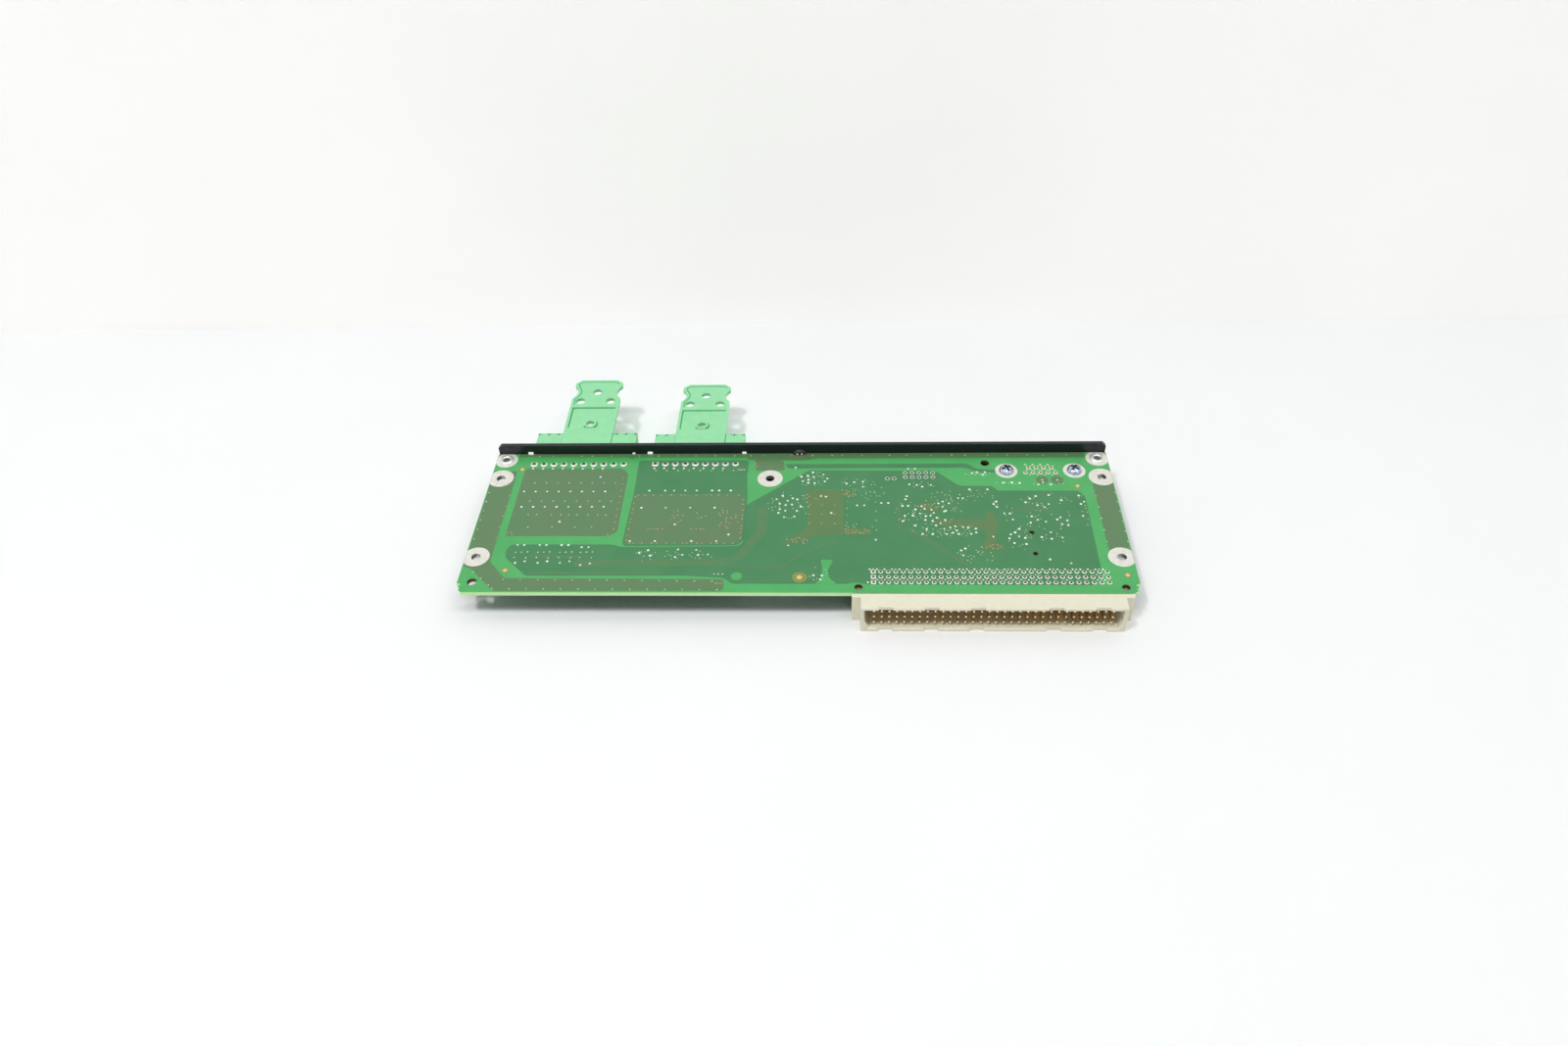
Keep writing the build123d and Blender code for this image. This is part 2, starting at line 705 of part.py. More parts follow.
    # Wire clamps: square metal cages that slide in the wire entries
    with BuildPart() as wire_clamps:
        with BuildSketch(plug_across.offset(clamp_inset - plug_end)):
            with Locations((0, entry_z)):
                with GridLocations(terminal_pitch, 1, ways, 1):
                    Rectangle(wire_entry_width, wire_entry_height)
                    Rectangle(
                        wire_entry_width - 2 * clamp_wall,
                        wire_entry_height - 2 * clamp_wall,
                        mode=Mode.SUBTRACT,
                    )
        extrude(amount=clamp_length)
    wire_clamps.part.label = f"wire_clamps_{ways}"
    export_step(wire_clamps.part, f"parts/wire_clamps_{ways}.step")

    # Clamp screws in their wells, each bearing on its cage
    well_length = entry_z - wire_entry_height / 2 - screw_side_z
    with BuildPart() as clamp_screws:
        with BuildSketch(leaning.offset(screw_side_z + clamp_screw_recess)):
            with Locations((0, screw_y)):
                with GridLocations(terminal_pitch, 1, ways, 1):
                    covered_shank(clamp_screw_radius)
        extrude(amount=well_length - clamp_screw_recess)
    clamp_screws.part.label = f"clamp_screws_{ways}"
    export_step(clamp_screws.part, f"parts/clamp_screws_{ways}.step")

    # Strain relief plate: clipped in the plug's flat side, with a waisted head for cable ties
    start = plug_end
    with BuildPart() as strain_relief:
        with BuildSketch(leaning.offset(flat_z - relief_thickness)) as plate_outline:
            with BuildLine() as plate_edge:
                right_side = Line(
                    (relief_width / 2, start),
                    (relief_width / 2, start + relief_straight),
                )
                waist = ThreePointArc(
                    right_side @ 1,
                    (relief_neck_width / 2, start + relief_neck),
                    (relief_head_width / 2, start + relief_head),
                )
                Polyline(
                    waist @ 1,
                    (relief_head_width / 2, start + relief_shoulder),
                    (relief_end_width / 2, start + relief_end),
                    (0, start + relief_end),
                    (0, start),
                    right_side @ 0,
                )
            make_face()
            mirror(about=Plane.YZ)
        extrude(amount=relief_thickness)
        with BuildSketch(leaning.offset(flat_z)):
            with Locations((0, (shoulder_y + plug_end) / 2)):
                Rectangle(relief_width, plug_end - shoulder_y)
        extrude(amount=-relief_clip_thickness)
        with BuildSketch(leaning.offset(flat_z)):
            with Locations((0, start + (lower_pocket_start + lower_pocket_end) / 2)):
                Rectangle(relief_width - 2 * relief_rim, lower_pocket_end - lower_pocket_start)
            with Locations((0, start + eye_position)):
                small_round(eye_collar_radius, Mode.SUBTRACT)
        extrude(amount=-relief_pocket_depth, mode=Mode.SUBTRACT)
        with BuildSketch(leaning.offset(flat_z)):
            add(plate_outline.sketch.faces())
            offset(amount=-relief_rim, kind=Kind.INTERSECTION)
            with Locations((0, start + head_pocket_start / 2)):
                Rectangle(relief_width, head_pocket_start, mode=Mode.SUBTRACT)
        extrude(amount=-head_pocket_depth, mode=Mode.SUBTRACT)
        with BuildSketch(leaning.offset(flat_z)):
            with Locations((0, start + relief_neck)):
                small_round(tie_hole_radius)
            with Locations((0, start + tie_hole_row)):
                with GridLocations(tie_hole_spacing, 1, 2, 1):
                    small_round(tie_hole_radius)
            with Locations((0, start + eye_position)):
                small_round(eye_radius)
        extrude(amount=-relief_thickness, mode=Mode.SUBTRACT)
    strain_relief.part.label = f"strain_relief_{ways}"
    export_step(strain_relief.part, f"parts/strain_relief_{ways}.step")

# Metal front of the nine-way connector: a flange behind the panel and a hollow
# D-shaped collar that passes through it
def d_outline(width, height, corner):
    """The D shape of the collar, its long side away from the board."""
    with BuildSketch(mode=Mode.PRIVATE) as outline:
        Trapezoid(width, height, dsub_side_angle)
        fillet(outline.vertices(), corner)
    return outline.sketch


flange_rear_y = panel_inner_y - dsub_flange_thickness
with BuildPart() as dsub_shell:
    with BuildSketch(across(panel_inner_y)) as flange:
        with Locations((dsub_x, dsub_z)):
            Rectangle(dsub_flange_width, dsub_flange_height)
        chamfer(flange.vertices(), dsub_flange_corner)
        with Locations((dsub_x, dsub_z)):
            with GridLocations(dsub_screw_spacing, 1, 2, 1):
                covered_hole(jack_shank_radius + screw_clearance, Mode.SUBTRACT)
    extrude(amount=dsub_flange_thickness)
    with BuildSketch(across(panel_inner_y)):
        with Locations((dsub_x, dsub_z)):
            add(d_outline(dsub_collar_width, dsub_collar_height, dsub_corner))
    extrude(amount=-dsub_collar_reach)
    with BuildSketch(across(panel_inner_y + dsub_collar_reach)):
        with Locations((dsub_x, dsub_z)):
            add(d_outline(
                dsub_collar_width - 2 * dsub_collar_wall,
                dsub_collar_height - 2 * dsub_collar_wall,
                dsub_corner - dsub_collar_wall,
            ))
    extrude(amount=dsub_collar_reach + dsub_flange_thickness, mode=Mode.SUBTRACT)
dsub_shell.part.label = "dsub_shell"
export_step(dsub_shell.part, "parts/dsub_shell.step")

# Insulator: fills the collar and ends in a block under the board
dsub_contact_rows = (
    (4, dsub_z + dsub_row_height / 2, dsub_near_inset),
    (5, dsub_z - dsub_row_height / 2, dsub_far_inset),
)
nose_front_y = panel_inner_y + dsub_collar_reach - dsub_collar_wall
body_rear_y = flange_rear_y - dsub_body_depth + dsub_flange_thickness
with BuildPart() as dsub_insulator:
    with BuildSketch(across(nose_front_y)):
        with Locations((dsub_x, dsub_z)):
            add(d_outline(
                dsub_collar_width - 2 * dsub_collar_wall,
                dsub_collar_height - 2 * dsub_collar_wall,
                dsub_corner - dsub_collar_wall,
            ))
    extrude(amount=nose_front_y - flange_rear_y)
    with BuildSketch(across(flange_rear_y)):
        with Locations((dsub_x, dsub_z)):
            Rectangle(dsub_body_width, 2 * dsub_drop)
    extrude(amount=flange_rear_y - body_rear_y)
    for count, row_z, inset in dsub_contact_rows:
        with BuildSketch(across(nose_front_y)):
            with Locations((dsub_x, row_z)):
                with GridLocations(dsub_pitch, 1, count, 1):
                    covered_hole(dsub_socket_radius)
        extrude(amount=dsub_socket_depth, mode=Mode.SUBTRACT)
        with BuildSketch(across(nose_front_y)):
            with Locations((dsub_x, row_z)):
                with GridLocations(dsub_pitch, 1, count, 1):
                    Rectangle(pin_width, pin_width)
        extrude(amount=nose_front_y - body_rear_y, mode=Mode.SUBTRACT)
dsub_insulator.part.label = "dsub_insulator"
export_step(dsub_insulator.part, "parts/dsub_insulator.step")

# Its nine contacts, bent up through the board behind the insulator
with BuildPart() as dsub_contacts:
    for count, row_z, inset in dsub_contact_rows:
        tail_y = panel_inner_y - inset
        with BuildSketch(*[Plane.YZ.offset(x) for x in pin_columns(dsub_x, count, dsub_pitch)]):
            with BuildLine():
                Polyline(
                    (nose_front_y - dsub_socket_depth, row_z - half_pin),
                    (nose_front_y - dsub_socket_depth, row_z + half_pin),
                    (tail_y + half_pin, row_z + half_pin),
                    (tail_y + half_pin, solder_z + pin_stand_out),
                    (tail_y - half_pin, solder_z + pin_stand_out),
                    (tail_y - half_pin, row_z - half_pin),
                    close=True,
                )
            make_face()
        extrude(amount=pin_width)
dsub_contacts.part.label = "dsub_contacts"
export_step(dsub_contacts.part, "parts/dsub_contacts.step")

# Angle brackets at its ends: a tab behind the flange and a foot screwed to the board
tab_rear_y = flange_rear_y - dsub_bracket_thickness
dsub_foot_y = panel_inner_y - dsub_screw_inset - board_screw_head_radius
with BuildPart() as dsub_brackets:
    for side in (-1, 1):
        with BuildSketch(Plane.YZ.offset(dsub_x + side * dsub_screw_spacing / 2)):
            with BuildLine():
                Polyline(
                    (flange_rear_y, component_z),
                    (dsub_foot_y, component_z),
                    (dsub_foot_y, component_z - dsub_bracket_thickness),
                    (tab_rear_y, component_z - dsub_bracket_thickness),
                    (tab_rear_y, dsub_z - dsub_bracket_width / 2),
                    (flange_rear_y, dsub_z - dsub_bracket_width / 2),
                    close=True,
                )
            make_face()
        extrude(amount=dsub_bracket_width / 2, both=True)
    with BuildSketch(Plane.XY.offset(component_z)):
        with Locations((dsub_x, panel_inner_y - dsub_screw_inset)):
            with GridLocations(dsub_screw_spacing, 1, 2, 1):
                covered_hole(board_screw_radius + screw_clearance)
    extrude(amount=-dsub_bracket_thickness, mode=Mode.SUBTRACT)
    with BuildSketch(across(flange_rear_y)):
        with Locations((dsub_x, dsub_z)):
            with GridLocations(dsub_screw_spacing, 1, 2, 1):
                covered_hole(jack_shank_radius + screw_clearance)
    extrude(amount=dsub_bracket_thickness, mode=Mode.SUBTRACT)
dsub_brackets.part.label = "dsub_brackets"
export_step(dsub_brackets.part, "parts/dsub_brackets.step")

# Hex jack screws on the panel, bored for the screws of the mating plug
with BuildPart() as dsub_jack_screws:
    with BuildSketch(across(panel_outer_y)):
        with Locations((dsub_x, dsub_z)):
            with GridLocations(dsub_screw_spacing, 1, 2, 1):
                RegularPolygon(jack_across_flats / 2, 6, major_radius=False)
    extrude(amount=-jack_length)
    with BuildSketch(across(panel_outer_y)):
        with Locations((dsub_x, dsub_z)):
            with GridLocations(dsub_screw_spacing, 1, 2, 1):
                covered_shank(jack_shank_radius)
    extrude(amount=jack_shank_length)
    with BuildSketch(across(panel_outer_y + jack_length)):
        with Locations((dsub_x, dsub_z)):
            with GridLocations(dsub_screw_spacing, 1, 2, 1):
                Circle(jack_bore_radius)
    extrude(amount=jack_bore_depth, mode=Mode.SUBTRACT)
dsub_jack_screws.part.label = "dsub_jack_screws"
export_step(dsub_jack_screws.part, "parts/dsub_jack_screws.step")

# Pan-head screws from the solder side into the feet of those brackets
with BuildPart() as dsub_board_screws:
    for side in (-1, 1):
        screw_x = dsub_x + side * dsub_screw_spacing / 2
        screw_seat = Plane(origin=(screw_x, panel_inner_y - dsub_screw_inset, solder_z))
        with BuildSketch(screw_seat):
            small_round(board_screw_head_radius)
        extrude(amount=board_screw_head_height)
        with BuildSketch(screw_seat):
            covered_shank(board_screw_radius)
        extrude(amount=-board_screw_length)
    crowns = dsub_board_screws.faces().sort_by(Axis.Z)[-2:]
    chamfer(crowns.edges(), board_screw_round)
dsub_board_screws.part.label = "dsub_board_screws"
export_step(dsub_board_screws.part, "parts/dsub_board_screws.step")

# Indicator: a round plastic holder in the panel, its lens, and two bent leads
holder_rear_y = panel_inner_y - indicator_body
with BuildPart() as indicator_holder:
    with BuildSketch(across(panel_inner_y)):
        with Locations((indicator_x, indicator_z)):
            small_round(indicator_radius)
    extrude(amount=indicator_body)
    chamfer(indicator_holder.faces().sort_by(Axis.Y)[0].edges(), indicator_body_round)
    with BuildSketch(across(panel_inner_y)):
        with Locations((indicator_x, indicator_z)):
            covered_shank(indicator_neck_radius)
    extrude(amount=-panel_thickness)
    with BuildSketch(across(panel_outer_y)):
        with Locations((indicator_x, indicator_z)):
            small_round(indicator_lip_radius)
    extrude(amount=-indicator_lip)
    with BuildSketch(across(panel_outer_y + indicator_lip)):
        with Locations((indicator_x, indicator_z)):
            small_round(indicator_lens_radius)
    extrude(amount=indicator_lip + panel_thickness, mode=Mode.SUBTRACT)
indicator_holder.part.label = "indicator_holder"
export_step(indicator_holder.part, "parts/indicator_holder.step")

with BuildPart() as indicator_lens:
    with BuildSketch(across(panel_inner_y)):
        with Locations((indicator_x, indicator_z)):
            small_round(indicator_lens_radius)
    extrude(amount=-(panel_thickness + indicator_lens_reach))
    dome = indicator_lens.faces().sort_by(Axis.Y)[-1]
    chamfer(dome.edges(), indicator_lens_chamfer)
indicator_lens.part.label = "indicator_lens"
export_step(indicator_lens.part, "parts/indicator_lens.step")

lead_foot_z = component_z - lead_width
with BuildPart() as indicator_leads:
    with BuildSketch(*[
        Plane.YZ.offset(indicator_x + side * lead_spacing / 2 - lead_width / 2) for side in (-1, 1)
    ]):
        with BuildLine():
            Polyline(
                (holder_rear_y, indicator_z + lead_width / 2),
                (holder_rear_y - lead_width, indicator_z + lead_width / 2),
                (holder_rear_y - lead_width, component_z),
                (holder_rear_y - lead_foot, component_z),
                (holder_rear_y - lead_foot, lead_foot_z),
                (holder_rear_y, lead_foot_z),
                close=True,
            )
        make_face()
    extrude(amount=lead_width)
indicator_leads.part.label = "indicator_leads"
export_step(indicator_leads.part, "parts/indicator_leads.step")

# Moulded packages on the component side, each a low block chamfered below
for name, length, width, height, edge, places in logic_packages:
    with BuildPart() as package:
        with BuildSketch(Plane.XY.offset(component_z)):
            with Locations(*places):
                Rectangle(length, width)
        extrude(amount=-height)
        lower_faces = package.faces().group_by(Axis.Z)[0]
        chamfer(lower_faces.edges(), edge)
    package.part.label = name
    export_step(package.part, f"parts/{name}.step")

# Isolated converter: a potted box on the component side
with BuildPart() as converter_module:
    with BuildSketch(Plane.XY.offset(component_z)) as footprint:
        with Locations((converter_x, converter_y)):
            Rectangle(converter_length, converter_width)
        chamfer(footprint.vertices(), converter_corner)
    extrude(amount=-converter_height)
    chamfer(converter_module.faces().sort_by(Axis.Z)[0].edges(), converter_edge)
converter_module.part.label = "converter_module"
export_step(converter_module.part, "parts/converter_module.step")

# Oscillator in a drawn metal can
with BuildPart() as oscillator:
    with BuildSketch(Plane.XY.offset(component_z)) as can:
        with Locations((oscillator_x, oscillator_y)):
            Rectangle(oscillator_length, oscillator_width)
        chamfer(can.vertices(), oscillator_corner)
    extrude(amount=-oscillator_height)
    chamfer(oscillator.faces().sort_by(Axis.Z)[0].edges(), oscillator_edge)
oscillator.part.label = "oscillator"
export_step(oscillator.part, "parts/oscillator.step")

# Electrolytic capacitors: round cans on square bases
with BuildPart() as filter_capacitors:
    with BuildSketch(Plane.XY.offset(component_z)):
        with Locations(*capacitor_places):
            Rectangle(capacitor_base, capacitor_base)
    extrude(amount=-capacitor_base_height)
    with BuildSketch(Plane.XY.offset(component_z)):
        with Locations(*capacitor_places):
            small_round(capacitor_radius)
    extrude(amount=-capacitor_height)
filter_capacitors.part.label = "filter_capacitors"
export_step(filter_capacitors.part, "parts/filter_capacitors.step")

# Power coils: a ferrite drum on a square base with cut corners
with BuildPart() as power_coils:
    for place in coil_places:
        coil_seat = Plane(origin=(place[0], place[1], component_z))
        with BuildSketch(coil_seat) as base:
            Rectangle(coil_size, coil_size)
            chamfer(base.vertices(), coil_corner)
        extrude(amount=-coil_base_height)
        with BuildSketch(coil_seat):
            small_round(coil_radius)
        extrude(amount=-coil_height)
power_coils.part.label = "power_coils"
export_step(power_coils.part, "parts/power_coils.step")
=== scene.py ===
from math import cos, pi, radians, sin
from random import Random

import bmesh
import bpy
from mathutils import Matrix, Vector


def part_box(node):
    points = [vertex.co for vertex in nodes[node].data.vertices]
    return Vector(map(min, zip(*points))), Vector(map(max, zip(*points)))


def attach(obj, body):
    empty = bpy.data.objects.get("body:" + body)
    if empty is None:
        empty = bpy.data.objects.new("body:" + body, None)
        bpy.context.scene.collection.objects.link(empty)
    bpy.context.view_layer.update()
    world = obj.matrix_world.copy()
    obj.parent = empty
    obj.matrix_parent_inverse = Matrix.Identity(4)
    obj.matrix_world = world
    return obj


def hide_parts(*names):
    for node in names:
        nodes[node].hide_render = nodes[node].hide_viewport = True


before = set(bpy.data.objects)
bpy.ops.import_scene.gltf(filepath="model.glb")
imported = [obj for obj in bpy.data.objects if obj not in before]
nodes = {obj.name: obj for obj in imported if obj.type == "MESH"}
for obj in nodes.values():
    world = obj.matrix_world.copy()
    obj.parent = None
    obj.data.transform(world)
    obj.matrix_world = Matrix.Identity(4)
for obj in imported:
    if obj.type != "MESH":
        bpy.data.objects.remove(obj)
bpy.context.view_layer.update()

# The table and the wall of the picture: a smooth white top and a pale painted wall behind it.
# The card leans on its panel's edge and its connector, so the table rises a little forwards.
# Both show from their front only, so that views from behind and below stay open.
MM = 0.001
scene = bpy.context.scene
scene.view_settings.view_transform = "Standard"


def seen_as(red, green, blue):
    """A colour as it looks on screen, each part from 0 to 255, for a shader socket."""
    parts = [value / 255 for value in (red, green, blue)]
    linear = [p / 12.92 if p <= 0.04045 else ((p + 0.055) / 1.055) ** 2.4 for p in parts]
    return (*linear, 1.0)


def new_finish(name, roughness, metallic=0.0):
    """A material with one plain shader, to which colour and relief are added."""
    material = bpy.data.materials.new(name)
    material.use_nodes = True
    shader = material.node_tree.nodes["Principled BSDF"]
    shader.inputs["Roughness"].default_value = roughness
    shader.inputs["Metallic"].default_value = metallic
    return material


def new_effect(name, inputs, outputs):
    """An empty shader node group with named inputs and outputs."""
    effect = bpy.data.node_groups.new(name, "ShaderNodeTree")
    for label, kind in inputs:
        effect.interface.new_socket(label, in_out="INPUT", socket_type=kind)
    for label, kind in outputs:
        effect.interface.new_socket(label, in_out="OUTPUT", socket_type=kind)
    return effect, effect.nodes.new("NodeGroupInput"), effect.nodes.new("NodeGroupOutput")


# Mottle: soft patches of a second colour, and the same pattern as a height
mottle, given, result = new_effect(
    "mottle",
    [("Colour", "NodeSocketColor"), ("Second", "NodeSocketColor"), ("Grain", "NodeSocketFloat")],
    [("Colour", "NodeSocketColor"), ("Height", "NodeSocketFloat")],
)
place = mottle.nodes.new("ShaderNodeTexCoord")
noise = mottle.nodes.new("ShaderNodeTexNoise")
noise.inputs["Detail"].default_value = 4.0
spread = mottle.nodes.new("ShaderNodeMapRange")
spread.inputs["From Min"].default_value = 0.3
spread.inputs["From Max"].default_value = 0.7
blend = mottle.nodes.new("ShaderNodeMix")
blend.data_type = "RGBA"
mottle.links.new(place.outputs["Object"], noise.inputs["Vector"])
mottle.links.new(given.outputs["Grain"], noise.inputs["Scale"])
mottle.links.new(noise.outputs["Fac"], spread.inputs["Value"])
mottle.links.new(spread.outputs["Result"], blend.inputs["Factor"])
mottle.links.new(given.outputs["Colour"], blend.inputs["A"])
mottle.links.new(given.outputs["Second"], blend.inputs["B"])
mottle.links.new(blend.outputs["Result"], result.inputs["Colour"])
mottle.links.new(spread.outputs["Result"], result.inputs["Height"])


def add_mottle(material, first, second, grain_mm, relief_mm=0.0):
    """Gives the material two colours in grains of that size, and their relief."""
    tree = material.node_tree
    shader = tree.nodes["Principled BSDF"]
    effect = tree.nodes.new("ShaderNodeGroup")
    effect.node_tree = mottle
    effect.inputs["Colour"].default_value = seen_as(*first)
    effect.inputs["Second"].default_value = seen_as(*second)
    effect.inputs["Grain"].default_value = 1 / (grain_mm * MM)
    tree.links.new(effect.outputs["Colour"], shader.inputs["Base Color"])
    if relief_mm:
        bump = tree.nodes.new("ShaderNodeBump")
        bump.inputs["Distance"].default_value = relief_mm * MM
        tree.links.new(effect.outputs["Height"], bump.inputs["Height"])
        tree.links.new(bump.outputs["Normal"], shader.inputs["Normal"])
    return effect


def stage_sheet(name, corners, first, second, lift=0.0):
    """A flat sheet that shows from its front only. Lift brightens it for the camera alone."""
    mesh = bpy.data.meshes.new(name)
    mesh.from_pydata([Vector(corner) * MM for corner in corners], [], [(0, 1, 2, 3)])
    sheet = bpy.data.objects.new(name, mesh)
    scene.collection.objects.link(sheet)
    material = new_finish(name, 1.0)
    add_mottle(material, first, second, 90.0)
    tree = material.node_tree
    shader = tree.nodes["Principled BSDF"]
    shader.inputs["Specular IOR Level"].default_value = 0.0
    side = tree.nodes.new("ShaderNodeNewGeometry")
    clear = tree.nodes.new("ShaderNodeBsdfTransparent")
    either = tree.nodes.new("ShaderNodeMixShader")
    tree.links.new(side.outputs["Backfacing"], either.inputs["Fac"])
    tree.links.new(shader.outputs["BSDF"], either.inputs[1])
    tree.links.new(clear.outputs["BSDF"], either.inputs[2])
    tree.links.new(either.outputs["Shader"], tree.nodes["Material Output"].inputs["Surface"])
    if lift:
        ray = tree.nodes.new("ShaderNodeLightPath")
        seen = tree.nodes.new("ShaderNodeMath")
        seen.operation = "MAXIMUM"
        mirrored = tree.nodes.new("ShaderNodeMath")
        mirrored.operation = "MAXIMUM"
        glow = tree.nodes.new("ShaderNodeMath")
        glow.operation = "MULTIPLY"
        glow.inputs[1].default_value = lift
        tree.links.new(ray.outputs["Is Glossy Ray"], mirrored.inputs[0])
        tree.links.new(ray.outputs["Is Transmission Ray"], mirrored.inputs[1])
        tree.links.new(ray.outputs["Is Camera Ray"], seen.inputs[0])
        tree.links.new(mirrored.outputs["Value"], seen.inputs[1])
        tree.links.new(seen.outputs["Value"], glow.inputs[0])
        tree.links.new(glow.outputs["Value"], shader.inputs["Emission Strength"])
        shader.inputs["Emission Color"].default_value = seen_as(*first)
    mesh.materials.append(material)


table_rise = 0.063
table_half_width = 1600.0
table_front_y = -1600.0
wall_y = 125.0
wall_height = 1500.0


panel_foot_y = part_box("front_panel")[0].y / MM


def table_z(y):
    """The height of the table under a place on the card."""
    return -table_rise * (y - panel_foot_y)


stage_sheet(
    "table",
    [
        (-table_half_width, table_front_y, table_z(table_front_y)),
        (table_half_width, table_front_y, table_z(table_front_y)),
        (table_half_width, wall_y, table_z(wall_y)),
        (-table_half_width, wall_y, table_z(wall_y)),
    ],
    (251, 252, 253),
    (249, 251, 252),
)
stage_sheet(
    "wall",
    [
        (-table_half_width, wall_y, table_z(wall_y)),
        (table_half_width, wall_y, table_z(wall_y)),
        (table_half_width, wall_y, wall_height),
        (-table_half_width, wall_y, wall_height),
    ],
    (241, 240, 238),
    (238, 237, 235),
    lift=0.31,
)

# Light: a small lamp high up at the left in front, a long thin one beside it, and an even
# white surround that fills the shadows. The camera, mirrors and glass see it as white.
fill_strength = 0.24
lamp_target = Vector((0.0, -0.03, 0.0))
lamps = (
    ("small lamp", (-0.72, -0.55, 1.9), 0.3, 0.06, 10.6),
    ("long lamp", (0.15, -0.55, 1.9), 2.6, 0.06, 17.9),
)
world = bpy.data.worlds.new("surround")
world.use_nodes = True
scene.world = world
surround = world.node_tree
ray = surround.nodes.new("ShaderNodeLightPath")
shown = surround.nodes.new("ShaderNodeMath")
shown.operation = "MAXIMUM"
mirrored = surround.nodes.new("ShaderNodeMath")
mirrored.operation = "MAXIMUM"
level = surround.nodes.new("ShaderNodeMapRange")
level.inputs["To Min"].default_value = fill_strength
level.inputs["To Max"].default_value = 1.0
backdrop = surround.nodes["Background"]
backdrop.inputs["Color"].default_value = (1.0, 1.0, 1.0, 1.0)
surround.links.new(ray.outputs["Is Glossy Ray"], mirrored.inputs[0])
surround.links.new(ray.outputs["Is Transmission Ray"], mirrored.inputs[1])
surround.links.new(ray.outputs["Is Camera Ray"], shown.inputs[0])
surround.links.new(mirrored.outputs["Value"], shown.inputs[1])
surround.links.new(shown.outputs["Value"], level.inputs["Value"])
surround.links.new(level.outputs["Result"], backdrop.inputs["Strength"])
for name, spot, length, width, power in lamps:
    lamp_data = bpy.data.lights.new(name, "AREA")
    lamp_data.shape = "RECTANGLE"
    lamp_data.size = length
    lamp_data.size_y = width
    lamp_data.energy = power
    lamp = bpy.data.objects.new(name, lamp_data)
    scene.collection.objects.link(lamp)
    aim = (lamp_target - Vector(spot)).to_track_quat("-Z", "Y")
    lamp.matrix_world = Matrix.Translation(spot) @ aim.to_matrix().to_4x4()

# Camera: a little left of the middle, in front of the card and above it
camera_place = Vector((0.014434, -0.355229, 0.302827))
camera_yaw = 3.428
camera_pitch = 42.275
camera_roll = -2.368
camera_data = bpy.data.cameras.new("camera")
camera_data.sensor_width = 36.0
camera_data.lens = 27.4556
camera = bpy.data.objects.new("camera", camera_data)
scene.collection.objects.link(camera)
camera.matrix_world = (
    Matrix.Translation(camera_place)
    @ Matrix.Rotation(radians(camera_yaw), 4, "Z")
    @ Matrix.Rotation(radians(90 - camera_pitch), 4, "X")
    @ Matrix.Rotation(radians(camera_roll), 4, "Z")
)
scene.camera = camera

# Circuit board: glass-epoxy laminate with printed copper under a clear green solder mask.
# Where there is no copper the mask is light green, and the cut edges are yellowish.
board_low, board_high = [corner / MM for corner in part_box("circuit_board")]
board_top = board_high.z
board_under = board_low.z
bare_mask = (70, 170, 92)
bare_mask_second = (78, 177, 98)
under_mask = (60, 128, 80)
cut_edge = (204, 248, 178)


def dress(node, material):
    """Gives a CAD node its finish in place of the plain one."""
    mesh = nodes[node].data
    mesh.materials.clear()
    mesh.materials.append(material)


board_finish = new_finish("solder mask on laminate", 0.3)
face_colour = add_mottle(board_finish, bare_mask, bare_mask_second, 9.0, 0.01)
tree = board_finish.node_tree
facing = tree.nodes.new("ShaderNodeNewGeometry")
split = tree.nodes.new("ShaderNodeSeparateXYZ")
top_face = tree.nodes.new("ShaderNodeMath")
top_face.operation = "GREATER_THAN"
top_face.inputs[1].default_value = 0.5
under_face = tree.nodes.new("ShaderNodeMath")
under_face.operation = "LESS_THAN"
under_face.inputs[1].default_value = -0.5
edge_or_top = tree.nodes.new("ShaderNodeMix")
edge_or_top.data_type = "RGBA"
edge_or_top.inputs["A"].default_value = seen_as(*cut_edge)
or_under = tree.nodes.new("ShaderNodeMix")
or_under.data_type = "RGBA"
or_under.inputs["B"].default_value = seen_as(*under_mask)
tree.links.new(facing.outputs["Normal"], split.inputs["Vector"])
tree.links.new(split.outputs["Z"], top_face.inputs[0])
tree.links.new(split.outputs["Z"], under_face.inputs[0])
tree.links.new(top_face.outputs["Value"], edge_or_top.inputs["Factor"])
tree.links.new(face_colour.outputs["Colour"], edge_or_top.inputs["B"])
tree.links.new(under_face.outputs["Value"], or_under.inputs["Factor"])
tree.links.new(edge_or_top.outputs["Result"], or_under.inputs["A"])
tree.links.new(or_under.outputs["Result"], tree.nodes["Principled BSDF"].inputs["Base Color"])
dress("circuit_board", board_finish)

# Printed copper on the solder side: broad fields and a few tracks, a coat thickness proud
# of the laminate, that show dark green, or brownish where a second layer lies behind them.
inner_x = -106.2
strip_y = -68.2
field_corner = 1.2


def add_piece(name, mesh, material, smooth=False):
    """Turns a mesh drawn in millimetres into a piece that rides on the card."""
    bmesh.ops.scale(mesh, vec=(MM, MM, MM), verts=mesh.verts)
    data = bpy.data.meshes.new(name)
    mesh.to_mesh(data)
    mesh.free()
    if smooth:
        data.polygons.foreach_set("use_smooth", [True] * len(data.polygons))
        data.set_sharp_from_angle(angle=radians(40))
    piece = bpy.data.objects.new(name, data)
    scene.collection.objects.link(piece)
    data.materials.append(material)
    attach(piece, "root")
    return piece


